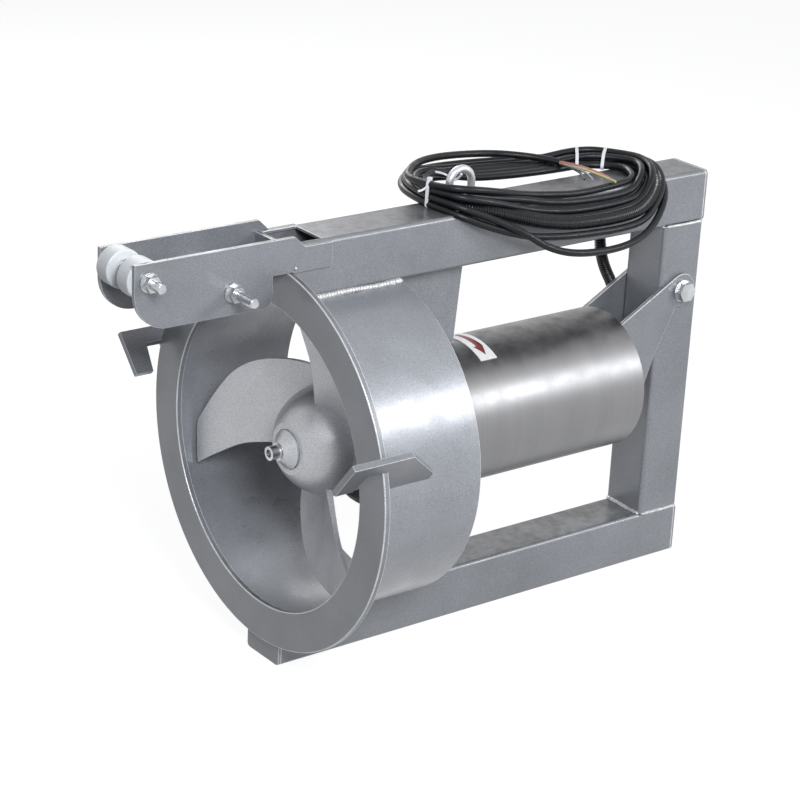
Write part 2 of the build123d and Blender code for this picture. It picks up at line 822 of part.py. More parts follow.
with BuildPart() as impeller_bolt:
    with BuildSketch(across(cap_nose_x - cap_washer - cap_bolt_diameter)):
        Circle(bolt_head_diameter / 2)
    extrude(amount=cap_bolt_diameter)
    with BuildSketch(across(cap_nose_x - cap_washer)):
        Circle(cap_bolt_diameter / 2)
    extrude(amount=shaft_nose_x + cap_bolt_bite - cap_nose_x + cap_washer)
    with BuildSketch(across(cap_nose_x - cap_washer - cap_bolt_diameter)):
        RegularPolygon(0.42 * cap_bolt_diameter, 6, major_radius=False)
    extrude(amount=0.6 * cap_bolt_diameter, mode=Mode.SUBTRACT)

with BuildPart() as cap_washer_ring:
    with BuildSketch(across(cap_nose_x - cap_washer)):
        Circle(0.92 * cap_bolt_diameter)
        Circle(cap_bolt_diameter / 2 + fit_gap, mode=Mode.SUBTRACT)
    extrude(amount=cap_washer)

# Shaft seal: fixed seat in the housing, turning ring and bellows on the shaft, lip seal behind
seal_face_x = housing_front + housing_nose
with BuildPart() as seal_seat:
    with BuildSketch(across(housing_front + 2)):
        Circle(seal_bore - fit_gap)
        Circle(seal_radius + play, mode=Mode.SUBTRACT)
    extrude(amount=housing_nose - 2)

with BuildPart() as seal_ring:
    with BuildSketch(across(seal_face_x + fit_gap)):
        Circle(seal_radius + 7)
        Circle(seal_radius + fit_gap, mode=Mode.SUBTRACT)
    extrude(amount=8)

with BuildPart() as seal_bellows:
    with BuildSketch(across(seal_face_x + fit_gap + 8)):
        Circle(seal_radius + 5.5)
        Circle(seal_radius + fit_gap, mode=Mode.SUBTRACT)
    extrude(amount=24)

with BuildPart() as lip_seal:
    with BuildSketch(across(front_bearing_x - bracket_wall)):
        Circle(lip_seal_bore - fit_gap)
        Circle(seal_radius + fit_gap, mode=Mode.SUBTRACT)
    extrude(amount=bracket_wall)

# Ball bearings: grooved outer and inner rings and their balls
bearing_rings = {}
for name, bearing_x, width, bore_radius, outer_radius, ball_radius, ball_count in (
    ("front", front_bearing_x, front_bearing_width, seal_radius, front_bearing_outer / 2, 6.5, 9),
    ("rear", rear_bearing_x, rear_bearing_width, nose_radius, rear_bearing_outer / 2, 6, 8),
):
    pitch_radius = (bore_radius + outer_radius) / 2
    land = ball_radius / 2
    middle_x = bearing_x + width / 2
    with BuildPart() as outer_ring:
        with BuildSketch(across(bearing_x)):
            Circle(outer_radius - fit_gap)
            Circle(pitch_radius + land, mode=Mode.SUBTRACT)
        extrude(amount=width)
        with BuildSketch(Plane.XY):
            with Locations((middle_x, pitch_radius)):
                Circle(ball_radius + play)
        revolve(axis=Axis.X, mode=Mode.SUBTRACT)
    with BuildPart() as inner_ring:
        with BuildSketch(across(bearing_x)):
            Circle(pitch_radius - land)
            Circle(bore_radius + fit_gap, mode=Mode.SUBTRACT)
        extrude(amount=width)
        with BuildSketch(Plane.XY):
            with Locations((middle_x, pitch_radius)):
                Circle(ball_radius + play)
        revolve(axis=Axis.X, mode=Mode.SUBTRACT)
    with BuildPart() as balls:
        with Locations(across(middle_x)):
            with PolarLocations(pitch_radius, ball_count):
                Sphere(ball_radius)
    bearing_rings[f"{name}_bearing_outer"] = outer_ring
    bearing_rings[f"{name}_bearing_inner"] = inner_ring
    bearing_rings[f"{name}_bearing_balls"] = balls

# Stator with its windings, and the rotor core
with BuildPart() as stator_core:
    with BuildSketch(across(stator_front)):
        Circle(barrel_bore - fit_gap)
        Circle(stator_bore / 2, mode=Mode.SUBTRACT)
        with PolarLocations(stator_bore / 2 + 2 + slot_depth / 2, slot_count):
            Rectangle(slot_depth, slot_width, mode=Mode.SUBTRACT)
    extrude(amount=stator_length)

with BuildPart() as stator_windings:
    for winding_x in (stator_front - coil_overhang, stator_rear):
        with BuildSketch(across(winding_x)):
            Circle(stator_bore / 2 + 6 + slot_depth)
            Circle(stator_bore / 2 + 3, mode=Mode.SUBTRACT)
        extrude(amount=coil_overhang)

with BuildPart() as rotor_core:
    with BuildSketch(across(stator_front)):
        Circle(stator_bore / 2 - air_gap)
        Circle(core_radius + fit_gap, mode=Mode.SUBTRACT)
    extrude(amount=stator_length)

# Cable gland on the rear cover
gland_bore = 5
gland_flange = 5
with BuildPart() as cable_gland:
    with BuildSketch(across(barrel_rear - cover_thickness)):
        with Locations((gland_y, gland_z)):
            Circle(10 - fit_gap)
    extrude(amount=cover_thickness)
    with BuildSketch(across(barrel_rear)):
        with Locations((gland_y, gland_z)):
            RegularPolygon(15, 6, major_radius=False)
    extrude(amount=gland_flange)
    with BuildSketch(across(barrel_rear - cover_thickness)):
        with Locations((gland_y, gland_z)):
            Circle(gland_bore)
    extrude(amount=cover_thickness + gland_flange, mode=Mode.SUBTRACT)

with BuildPart() as gland_nut:
    with BuildSketch(across(barrel_rear + gland_flange)):
        with Locations((gland_y, gland_z)):
            RegularPolygon(13, 6, major_radius=False)
            Circle(gland_bore, mode=Mode.SUBTRACT)
    extrude(amount=gland_exit_x - barrel_rear - gland_flange)

# Hank: an oval ring of cable laid over the top beam, its near side hanging down past the edge
hank_x = (hank_front + hank_rear) / 2
hank_y = (hank_near + hank_far) / 2
hank_floor = beam_top + hank_rest_gap
window_front = hank_front + hank_pile_band
window_rear = hank_rear - hank_band
bend_y = -beam_half - 2
margin = 20


def hank_solid(grow):
    """Return the hank's outer shape, grown by the given amount all round."""
    with BuildPart() as oval:
        with BuildSketch(Plane.XY):
            with Locations((hank_x, hank_y)):
                Ellipse((hank_rear - hank_front) / 2 + grow, (hank_far - hank_near) / 2 + grow)
            with Locations(((window_front + window_rear) / 2, hank_y)):
                SlotOverall(
                    window_rear - window_front - 2 * grow,
                    hank_far - hank_near - 2 * hank_band - 2 * grow,
                    mode=Mode.SUBTRACT,
                )
        extrude(amount=2 * beam_top)
    with BuildPart() as drape:
        for height, x_start, x_end in (
            (hank_height, hank_front - margin, hank_rear + margin),
            (hank_pile_height, hank_front - margin, hank_pile_rear + grow),
        ):
            floor_z = hank_floor - grow
            roof_z = hank_floor + height + grow
            drop = -bend_y - hank_near
            roof_bend_y = bend_y - (height + grow) * tan(radians(22.5))
            with BuildSketch(across(x_start)):
                with BuildLine():
                    Polyline(
                        (hank_far + margin, floor_z),
                        (bend_y, floor_z),
                        (bend_y - drop, floor_z - drop),
                        (roof_bend_y - drop - height, roof_z - drop - height),
                        (roof_bend_y, roof_z),
                        (hank_far + margin, roof_z),
                        close=True,
                    )
                make_face()
            extrude(amount=x_end - x_start)
    return oval.part & drape.part


with BuildPart() as cable_coil:
    add(hank_solid(0))

# White ties round the hank: two on its far side, one on its near side
tie_shell = hank_solid(play + tie_thickness) - hank_solid(play)
with BuildPart() as cable_ties:
    for tie_x, tie_side in ((500, 1), (535, 1), (330, -1)):
        with BuildPart(mode=Mode.PRIVATE) as slab:
            with BuildSketch(across(tie_x)):
                with Locations((hank_y + tie_side * beam_top / 2, beam_top)):
                    Rectangle(beam_top, beam_top)
            extrude(amount=tie_width)
        add(tie_shell & slab.part)

# Cable from the gland up to the underside of the hank: straight runs joined by tangent arcs
cable_points = [
    Vector(gland_exit_x, gland_y, gland_z),
    Vector(gland_exit_x + 17, 62, 40),
    Vector(596, 62, 46),
    Vector(614, 62, 60),
    Vector(622, 62, 80),
    Vector(616, 62, 102),
    Vector(602, 63, 124),
    Vector(592, 64, 150),
    Vector(588, 70, 220),
    Vector(588, 70, hank_floor),
]
bend_radii = []
for before, corner, after in zip(cable_points, cable_points[1:], cable_points[2:]):
    half_turn = radians((corner - before).get_angle(after - corner)) / 2
    shorter = min((corner - before).length, (after - corner).length)
    bend_radii.append(cable_bend_share * shorter / tan(half_turn))
with BuildPart() as cable_run:
    with BuildLine() as cable_path:
        FilletPolyline(*cable_points, radius=bend_radii)
    with BuildSketch(Plane(origin=cable_points[0], z_dir=(1, 0, 0))):
        Circle(sleeve_diameter / 2)
    sweep(path=cable_path.line)
print("cable bend radii", [round(radius, 1) for radius in bend_radii])
cable_length = cable_path.wire().length
section_volume = cable_length * Circle(sleeve_diameter / 2, mode=Mode.PRIVATE).area
print("cable length", round(cable_length, 1), "volume ratio", round(cable_run.part.volume / section_volume, 5))

# Every piece under its own name
pieces = {
    "shroud_tube": shroud_tube,
    "front_flange": front_flange,
    "bottom_beam": bottom_beam,
    "top_beam": top_beam,
    "rear_column": rear_column,
    "end_caps": end_caps,
    "lifting_eye": lifting_eye,
    "roller_plate_near": roller_plate_near,
    "roller_plate_far": roller_plate_far,
    "cross_plate": cross_plate,
    "roller_nuts": roller_nuts,
    "roller_washers": roller_washers,
    "hook_near": hook_near,
    "hook_far": hook_far,
    "front_web": front_web,
    "cheek_plate_near": cheek_plate_near,
    "cheek_plate_far": cheek_plate_far,
    "pivot_bolt": pivot_bolt,
    "pivot_nut": pivot_nut,
    "pivot_washers": pivot_washers,
    "motor_barrel": motor_barrel,
    "front_housing": front_housing,
    "oil_plug": oil_plug,
    "bearing_bracket": bearing_bracket,
    "housing_screws": housing_screws,
    "rear_bracket": rear_bracket,
    "rear_cover": rear_cover,
    "cover_screws": cover_screws,
    "o_rings": o_rings,
    "arrow_label": arrow_label,
    "shaft": shaft,
    "impeller_key": impeller_key,
    "impeller": impeller,
    "impeller_cap": impeller_cap,
    "impeller_bolt": impeller_bolt,
    "cap_washer": cap_washer_ring,
    "seal_seat": seal_seat,
    "seal_ring": seal_ring,
    "seal_bellows": seal_bellows,
    "lip_seal": lip_seal,
    "stator_core": stator_core,
    "stator_windings": stator_windings,
    "rotor_core": rotor_core,
    "cable_gland": cable_gland,
    "gland_nut": gland_nut,
    "cable_run": cable_run,
    "cable_coil": cable_coil,
    "cable_ties": cable_ties,
    **axles,
    **rollers,
    **bearing_rings,
}
for name, piece in pieces.items():
    piece.part.label = name
    export_step(piece.part, f"parts/{name}.step")
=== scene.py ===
"""Looks of a sludge return pump: finishes, weld beads, cable, sleeve, ties and light round the fixed CAD frame."""

from __future__ import annotations

import json
import logging
import math
import random
from dataclasses import dataclass, field
from enum import Enum
from functools import cache
from typing import Iterable, Sequence

import bmesh
import bpy
from mathutils import Matrix, Vector

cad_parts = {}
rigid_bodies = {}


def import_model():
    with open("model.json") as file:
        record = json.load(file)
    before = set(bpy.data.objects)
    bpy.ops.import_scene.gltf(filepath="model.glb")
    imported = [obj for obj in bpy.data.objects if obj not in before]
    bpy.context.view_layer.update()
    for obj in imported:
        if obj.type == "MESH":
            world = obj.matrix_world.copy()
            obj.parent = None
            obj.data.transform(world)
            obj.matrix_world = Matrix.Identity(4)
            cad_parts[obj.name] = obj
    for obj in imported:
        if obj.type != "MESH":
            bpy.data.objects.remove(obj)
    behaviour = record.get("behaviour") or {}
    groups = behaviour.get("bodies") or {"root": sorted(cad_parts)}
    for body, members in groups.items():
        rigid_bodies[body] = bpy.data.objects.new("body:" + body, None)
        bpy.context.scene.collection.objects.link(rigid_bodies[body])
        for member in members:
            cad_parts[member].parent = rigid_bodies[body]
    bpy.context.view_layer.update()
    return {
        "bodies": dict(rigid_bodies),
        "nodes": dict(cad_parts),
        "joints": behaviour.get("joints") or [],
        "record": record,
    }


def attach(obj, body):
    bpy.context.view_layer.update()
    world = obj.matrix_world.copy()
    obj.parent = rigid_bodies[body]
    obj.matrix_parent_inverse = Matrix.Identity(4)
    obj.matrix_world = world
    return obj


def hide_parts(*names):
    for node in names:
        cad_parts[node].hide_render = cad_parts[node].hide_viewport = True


LOG = logging.getLogger("sludge_pump")
Point = tuple[float, float, float]
Colour = tuple[float, float, float]
Socket = bpy.types.NodeSocket
Material = bpy.types.Material
Piece = bpy.types.Object

BODY = "frame"  # every piece made here rides on it
MM_PER_M = 1000
WHITE = (1.0, 1.0, 1.0, 1.0)
SHARP_ANGLE = math.radians(40)


class Slot(Enum):
    """Material slots of the record; the frame paint marks the nodes whose edges are softened."""

    FRAME_PAINT = "frame_paint"
    CABLE_BLACK = "cable_black"
    TIE_WHITE = "tie_white"
    LABEL_WHITE = "label_white"


# ---------------------------------------------------------------- node trees


def reckoned(tree: bpy.types.NodeTree, operation: str, one: Socket, other: Socket | float) -> Socket:
    """Return the result of a math node on a socket and another socket or a number."""
    made = tree.nodes.new("ShaderNodeMath")
    made.operation = operation
    tree.links.new(one, made.inputs[0])
    if isinstance(other, float):
        made.inputs[1].default_value = other
    else:
        tree.links.new(other, made.inputs[1])
    return made.outputs[0]


def seeing_rays(tree: bpy.types.NodeTree) -> Socket:
    """Return 1 for rays of the camera, of gloss and through clear matter, and 0 for the light that falls on things."""
    rays = tree.nodes.new("ShaderNodeLightPath")
    seeing = rays.outputs["Is Camera Ray"]
    for kind in ("Is Glossy Ray", "Is Transmission Ray"):
        seeing = reckoned(tree, "MAXIMUM", seeing, rays.outputs[kind])
    return seeing


class Shader:
    """A node tree under construction, with its principled shader and Object coordinates ready."""

    def __init__(self, name: str) -> None:
        """Start an empty node material of that name."""
        self.material = bpy.data.materials.new(name)
        self.material.use_nodes = True
        self.tree = self.material.node_tree
        self.tree.nodes.clear()
        self.output = self.tree.nodes.new("ShaderNodeOutputMaterial")
        self.surface = self.tree.nodes.new("ShaderNodeBsdfPrincipled")
        self.tree.links.new(self.surface.outputs["BSDF"], self.output.inputs["Surface"])
        coordinates = self.tree.nodes.new("ShaderNodeTexCoord")
        self.place = coordinates.outputs["Object"]
        self.facing = coordinates.outputs["Normal"]

    def node(self, kind: str, **values: object) -> bpy.types.Node:
        """Add a node of a type, set attributes on it and return it."""
        made = self.tree.nodes.new(kind)
        for key, value in values.items():
            setattr(made, key, value)
        return made

    def link(self, start: Socket, end: Socket) -> None:
        """Join two sockets."""
        self.tree.links.new(start, end)

    def feed(self, **values: object) -> None:
        """Link or set the principled shader's sockets; an underscore in a key stands for a space."""
        for key, value in values.items():
            socket = self.surface.inputs[key.replace("_", " ")]
            if isinstance(value, bpy.types.NodeSocket):
                self.link(value, socket)
            else:
                socket.default_value = value

    def stretched(self, scale: Point) -> Socket:
        """Return Object coordinates stretched by a factor per axis."""
        mapping = self.node("ShaderNodeMapping")
        mapping.inputs["Scale"].default_value = scale
        self.link(self.place, mapping.inputs["Vector"])
        return mapping.outputs["Vector"]

    def noise(self, scale: float, detail: float = 2.0, rough: float = 0.5, source: Socket | None = None) -> Socket:
        """Return the factor of a noise texture.

        Args:
            scale: number of features per metre.
            detail: octaves.
            rough: share of each next octave.
            source: coordinates to read, Object coordinates if left out.

        Returns:
            The factor's socket.
        """
        texture = self.node("ShaderNodeTexNoise")
        texture.inputs["Scale"].default_value = scale
        texture.inputs["Detail"].default_value = detail
        texture.inputs["Roughness"].default_value = rough
        self.link(source or self.place, texture.inputs["Vector"])
        return texture.outputs["Fac"]

    def ramp(self, factor: Socket, stops: Sequence[tuple[float, Colour]]) -> Socket:
        """Return a colour ramp's colour over the given stops."""
        made = self.node("ShaderNodeValToRGB")
        elements = made.color_ramp.elements
        while len(elements) < len(stops):
            elements.new(0.5)
        for element, (place, colour) in zip(elements, stops):
            element.position = place
            element.color = (*colour, 1.0)
        self.link(factor, made.inputs["Fac"])
        return made.outputs["Color"]

    def spread(self, factor: Socket, low: float, high: float, start: float = 0.0, end: float = 1.0) -> Socket:
        """Return a factor carried from the range start-end to the range low-high."""
        made = self.node("ShaderNodeMapRange")
        for key, value in (("From Min", start), ("From Max", end), ("To Min", low), ("To Max", high)):
            made.inputs[key].default_value = value
        self.link(factor, made.inputs["Value"])
        return made.outputs["Result"]

    def blend(self, factor: Socket, one: Socket, other: Socket, how: str = "MIX") -> Socket:
        """Return a mix of two colours, with the factor as the share of the second."""
        made = self.node("ShaderNodeMix", data_type="RGBA", blend_type=how)
        self.link(factor, made.inputs[0])
        self.link(one, made.inputs[6])
        self.link(other, made.inputs[7])
        return made.outputs[2]

    def times(self, one: Socket, other: Socket) -> Socket:
        """Return one colour multiplied by another."""
        full = self.node("ShaderNodeValue")
        full.outputs[0].default_value = 1.0
        return self.blend(full.outputs[0], one, other, "MULTIPLY")

    def upward_dust_and_shade(self, start: float, end: float) -> Socket:
        """Return a mask of dust and painted shade on upward faces: none below one upward share of the normal, patchily
        full from another.
        """
        parts = self.node("ShaderNodeSeparateXYZ")
        self.link(self.facing, parts.inputs[0])
        level = self.spread(parts.outputs["Z"], 0.0, 1.0, start, end)
        patchy = self.spread(self.noise(28.0, 6.0, 0.65), 0.45, 1.0, 0.35, 0.6)
        return reckoned(self.tree, "MULTIPLY", level, patchy)

    def bump(self, height: Socket, distance: float, strength: float = 1.0) -> None:
        """Give the surface a bump on top of any that it has.

        Args:
            height: socket with the height.
            distance: height in metres that a value of 1 stands for.
            strength: share of the effect.
        """
        made = self.node("ShaderNodeBump")
        made.inputs["Distance"].default_value = distance
        made.inputs["Strength"].default_value = strength
        self.link(height, made.inputs["Height"])
        normal = self.surface.inputs["Normal"]
        if normal.links:
            self.link(normal.links[0].from_socket, made.inputs["Normal"])
        self.link(made.outputs["Normal"], normal)


# ---------------------------------------------------------------- finishes


@dataclass(frozen=True)
class Finish:
    """What a surface is coated with or made of."""

    name: str
    dark: Colour
    light: Colour

    def material(self) -> Material:
        """Return the node material."""
        shader = Shader(self.name)
        self.fill(shader)
        return shader.material

    def fill(self, shader: Shader) -> None:
        """Add the finish's own nodes."""
        raise NotImplementedError

    def tone(self, shader: Shader, factor: Socket, start: float = 0.3, end: float = 0.7) -> Socket:
        """Return the finish's colour, dark up to the start of a factor's range and light from its end."""
        return shader.ramp(factor, ((start, self.dark), (end, self.light)))


@dataclass(frozen=True)
class SilverCoat(Finish):
    """Sprayed silver-grey metallic paint: fine speckle, soft clouds, handling marks, and dust with painted shade on its
    top faces.
    """

    name: str = "silver_coat"
    dark: Colour = (0.2, 0.208, 0.227)
    light: Colour = (0.265, 0.276, 0.3)
    # dust: colour of the top faces, partly dust and partly painted shade
    dust: Colour = (0.055, 0.049, 0.045)
    top_dust_and_shade_share: float = 0.85
    metallic: float = 0.22
    roughness: float = 0.34
    grain: float = 850.0
    cloud: float = 7.0
    lumps: float = 0.0001

    def fill(self, shader: Shader) -> None:
        """Add the clouds with the speckle, then the marks, then the dust with painted shade on top faces."""
        cloud = self.tone(shader, shader.noise(self.cloud, 5.0, 0.6))
        grains = shader.noise(self.grain, 2.0, 0.7)
        speck = shader.ramp(grains, ((0.34, (0.76, 0.76, 0.76)), (0.66, (1.24, 1.24, 1.24))))
        scuffs = shader.noise(70.0, 8.0, 0.75, shader.stretched((1.0, 1.0, 3.0)))
        marks = shader.spread(scuffs, 0.0, 0.6, 0.66, 0.78)
        pale = shader.ramp(shader.noise(30.0), ((0.0, (0.45, 0.46, 0.48)), (1.0, (0.6, 0.6, 0.62))))
        marked = shader.blend(marks, shader.times(cloud, speck), pale)
        # Upward faces blend towards the dust colour: partly dust, partly painted shade.
        upward_dust_and_shade = shader.spread(shader.upward_dust_and_shade(0.8, 0.98), 0.0, self.top_dust_and_shade_share)
        dust_and_shade_colour = shader.ramp(shader.noise(90.0, 5.0), ((0.35, self.dust), (0.95, self.dark)))
        rough = shader.spread(shader.noise(25.0, 4.0), self.roughness - 0.06, self.roughness + 0.1, 0.3, 0.7)
        shader.feed(Base_Color=shader.blend(upward_dust_and_shade, marked, dust_and_shade_colour), Roughness=rough)
        shader.feed(Metallic=self.metallic, Coat_Weight=0.15, Coat_Roughness=0.24)
        shader.bump(shader.noise(self.grain * 0.6, 3.0, 0.6), self.lumps)
        shader.bump(shader.noise(12.0, 2.0), 0.0008, 0.5)


@dataclass(frozen=True)
class TurnedSteel(Finish):
    """Stainless steel turned on a lathe round the X axis: very fine rings, a satin sheen and a dark top, partly a dirt
    film and partly painted shade.
    """

    name: str = "turned_steel"
    dark: Colour = (0.23, 0.23, 0.235)
    light: Colour = (0.29, 0.29, 0.297)
    # film: dark colour of upward faces, partly a dirt film and partly painted shade
    film: Colour = (0.03, 0.03, 0.031)
    roughness: float = 0.41
    rings: float = 3000.0

    def fill(self, shader: Shader) -> None:
        """Add fine and broad rings, then the film with painted shade on upward faces."""
        rings = shader.noise(1.0, 2.0, 0.5, shader.stretched((self.rings, 3.0, 3.0)))
        broad = shader.noise(1.0, 2.0, 0.5, shader.stretched((40.0, 5.0, 5.0)))
        wide = shader.ramp(broad, ((0.25, (0.93, 0.93, 0.94)), (0.75, (1.0, 1.0, 1.0))))
        clean = shader.times(self.tone(shader, rings, 0.2, 0.8), wide)
        # Upward faces blend towards the film colour: partly a dirt film, partly painted shade.
        film_and_shade_colour = shader.ramp(shader.noise(60.0, 5.0), ((0.3, self.film), (0.8, self.dark)))
        upward_dust_and_shade = shader.spread(shader.upward_dust_and_shade(0.72, 0.97), 0.0, 0.75)
        rough = shader.spread(shader.noise(30.0, 4.0, 0.6), self.roughness - 0.03, self.roughness + 0.05, 0.3, 0.7)
        shader.feed(Base_Color=shader.blend(upward_dust_and_shade, clean, film_and_shade_colour), Roughness=rough, Metallic=0.92)
        shader.bump(rings, 0.000006)


@dataclass(frozen=True)
class PlainMetal(Finish):
    """Bare or plated metal with a fine even grain and faint stains."""

    roughness: float = 0.3
    metallic: float = 1.0
    grain: float = 1500.0
    lumps: float = 0.00003

    def fill(self, shader: Shader) -> None:
        """Add the stains and the grain."""
        rough = shader.spread(shader.noise(90.0, 5.0), self.roughness - 0.06, self.roughness + 0.12, 0.3, 0.7)
        colour = self.tone(shader, shader.noise(35.0, 6.0, 0.65))
        shader.feed(Base_Color=colour, Roughness=rough, Metallic=self.metallic)
        shader.bump(shader.noise(self.grain, 3.0, 0.6), self.lumps)


@dataclass(frozen=True)
class WeldMetal(Finish):
    """Weld bead under a coat of silver paint: pale, spattered and uneven."""

    def fill(self, shader: Shader) -> None:
        """Add the blotches and the lumps."""
        blotch = shader.noise(220.0, 5.0, 0.7)
        colour = self.tone(shader, blotch, 0.3, 0.6)
        shader.feed(Base_Color=colour, Roughness=shader.spread(blotch, 0.3, 0.55), Metallic=0.6)
        shader.bump(shader.noise(700.0, 4.0, 0.7), 0.0005)


@dataclass(frozen=True)
class TurnedNylon(Finish):
    """White nylon with faint tool rings, grey smudges and a waxy sheen."""

    def fill(self, shader: Shader) -> None:
        """Add the smudges, the sheen and the rings."""
        dirt = shader.noise(70.0, 7.0, 0.7)
        colour = shader.ramp(dirt, ((0.58, self.light), (0.85, self.dark)))
        shader.feed(Base_Color=colour, Roughness=shader.spread(dirt, 0.35, 0.6))
        shader.feed(Subsurface_Weight=0.15, Subsurface_Scale=0.004, Subsurface_Radius=(1.0, 0.9, 0.8))
        shader.bump(shader.noise(1.0, 2.0, 0.5, shader.stretched((60.0, 1600.0, 60.0))), 0.00005)


@dataclass(frozen=True)
class RubberSheath(Finish):
    """Black rubber sheath with a soft sheen, faint scuffs and pale dust."""

    dust: Colour
    roughness: float

    def fill(self, shader: Shader) -> None:
        """Add the dust in specks and the scuffs."""
        tone = self.tone(shader, shader.noise(50.0, 4.0, 0.6))
        specks = shader.spread(shader.noise(320.0, 6.0, 0.8), 0.0, 0.6, 0.64, 0.8)
        dust = shader.ramp(shader.noise(20.0), ((0.3, self.dust), (0.7, self.light)))
        rough = shader.spread(shader.noise(120.0, 5.0, 0.7), self.roughness - 0.1, self.roughness + 0.2, 0.3, 0.7)
        shader.feed(Base_Color=shader.blend(specks, tone, dust), Roughness=rough, Specular_IOR_Level=0.3)
        shader.bump(shader.noise(900.0, 3.0, 0.6), 0.00008)


@dataclass(frozen=True)
class MouldedPlastic(Finish):
    """Moulded or extruded plastic of one colour with slight variation."""

    roughness: float

    def fill(self, shader: Shader) -> None:
        """Add the variation."""
        blotch = shader.noise(160.0, 4.0, 0.6)
        rough = shader.spread(blotch, self.roughness, self.roughness + 0.15)
        shader.feed(Base_Color=self.tone(shader, blotch), Roughness=rough)
        shader.bump(shader.noise(1200.0, 2.0), 0.00003)


@dataclass(frozen=True)
class LaminatedSteel(Finish):
    """Stack of thin steel sheets along X, as in a motor's core."""

    sheets: float = 1500.0

    def fill(self, shader: Shader) -> None:
        """Add the sheets."""
        stack = shader.noise(1.0, 1.0, 0.4, shader.stretched((self.sheets, 2.0, 2.0)))
        rough = shader.spread(shader.noise(80.0, 3.0), 0.35, 0.6)
        shader.feed(Base_Color=self.tone(shader, stack, 0.35, 0.65), Roughness=rough, Metallic=0.85)
        shader.bump(stack, 0.0001)


@dataclass(frozen=True)
class WoundCopper(Finish):
    """Varnished copper wire wound round a core."""

    strands: float = 90.0

    def fill(self, shader: Shader) -> None:
        """Add the turns of wire."""
        wire = shader.node("ShaderNodeTexWave", wave_type="RINGS", rings_direction="X", wave_profile="SIN")
        wire.inputs["Scale"].default_value = self.strands
        wire.inputs["Distortion"].default_value = 1.5
        shader.link(shader.place, wire.inputs["Vector"])
        turns = wire.outputs["Fac"]
        rough = shader.spread(shader.noise(90.0), 0.25, 0.4)
        shader.feed(Base_Color=self.tone(shader, turns, 0.1, 0.8), Roughness=rough, Metallic=0.9, Coat_Weight=0.4)
        shader.bump(turns, 0.0003)


FRAME_COAT = SilverCoat()
# Bright paint of the rounded edges: partly paint wear, partly a painted highlight.
EDGE_WEAR_AND_HIGHLIGHT_COAT = SilverCoat("silver_coat_edge", (0.55, 0.56, 0.58), (0.8, 0.81, 0.83), top_dust_and_shade_share=0.3, cloud=30.0, lumps=0.00005)
ROLLED_COAT = SilverCoat(
    "silver_coat_rolled", (0.26, 0.27, 0.295), (0.34, 0.353, 0.385), top_dust_and_shade_share=0.12, metallic=0.36, roughness=0.3
)
BRIGHT_COAT = SilverCoat(
    "silver_coat_bright", (0.5, 0.51, 0.53), (0.7, 0.71, 0.74), top_dust_and_shade_share=0.0, metallic=0.6, roughness=0.3
)
CAST_COAT = SilverCoat(
    "silver_coat_cast", (0.5, 0.51, 0.53), (0.6, 0.61, 0.64), top_dust_and_shade_share=0.0, metallic=0.45, roughness=0.36, lumps=0.00006
)
WELD = WeldMetal("weld_metal", (0.34, 0.34, 0.35), (0.66, 0.66, 0.67))
SHEATH = RubberSheath("rubber_sheath", (0.003, 0.0036, 0.005), (0.006, 0.0075, 0.011), (0.05, 0.057, 0.075), 0.33)
NITRILE = RubberSheath("nitrile_rubber", (0.012, 0.012, 0.012), (0.03, 0.03, 0.03), (0.06, 0.06, 0.06), 0.45)
SLEEVE = MouldedPlastic("sleeve_plastic", (0.004, 0.004, 0.006), (0.01, 0.011, 0.014), 0.2)
TIE = MouldedPlastic("tie_nylon", (0.76, 0.78, 0.82), (0.86, 0.87, 0.89), 0.3)
ARROW = MouldedPlastic("arrow_red", (0.16, 0.02, 0.02), (0.24, 0.03, 0.03), 0.3)
SLOT_FINISHES = {
    "frame_paint": FRAME_COAT,
    "impeller_paint": CAST_COAT,
    "motor_steel": TurnedSteel(),
    "housing_iron": PlainMetal("painted_iron", (0.1, 0.1, 0.105), (0.2, 0.2, 0.21), 0.5, 0.6, 500.0, 0.0002),
    "nylon_white": TurnedNylon("turned_nylon", (0.56, 0.58, 0.58), (0.74, 0.77, 0.79)),
    "zinc_bolt": PlainMetal("zinc_plate", (0.42, 0.43, 0.44), (0.68, 0.69, 0.71), 0.24),
    "shaft_steel": PlainMetal("ground_steel", (0.4, 0.4, 0.4), (0.56, 0.56, 0.56), 0.22),
    "bearing_steel": PlainMetal("bearing_steel", (0.55, 0.55, 0.56), (0.7, 0.7, 0.7), 0.12),
    "core_steel": LaminatedSteel("laminated_steel", (0.1, 0.1, 0.11), (0.3, 0.3, 0.31)),
    "copper_winding": WoundCopper("wound_copper", (0.22, 0.07, 0.025), (0.62, 0.27, 0.1)),
    "seal_black": NITRILE,
    "seal_face": PlainMetal("lapped_carbide", (0.05, 0.05, 0.055), (0.11, 0.11, 0.12), 0.2, 0.3),
    "cable_black": SHEATH,
    "tie_white": TIE,
    "label_white": MouldedPlastic("printed_film", (0.78, 0.78, 0.78), (0.86, 0.86, 0.86), 0.22),
}
NODE_FINISHES = {"shroud_tube": ROLLED_COAT, "lifting_eye": BRIGHT_COAT}


@cache
def material_of(finish: Finish) -> Material:
    """Return the material of a finish, made the first time it is asked for."""
    return finish.material()


# ---------------------------------------------------------------- mesh workshop


def mesh_of(shape: bmesh.types.BMesh, name: str) -> bpy.types.Mesh:
    """Turn a bmesh into a mesh with its faces outwards and free it."""
    bmesh.ops.remove_doubles(shape, verts=shape.verts, dist=1e-6)
    bmesh.ops.recalc_face_normals(shape, faces=shape.faces)
    mesh = bpy.data.meshes.new(name)
    shape.to_mesh(mesh)
    shape.free()
    return mesh


def placed(name: str, data: bpy.types.ID) -> Piece:
    """Put an object with the given data in the scene and return it."""
    thing = bpy.data.objects.new(name, data)
    bpy.context.scene.collection.objects.link(thing)
    return thing


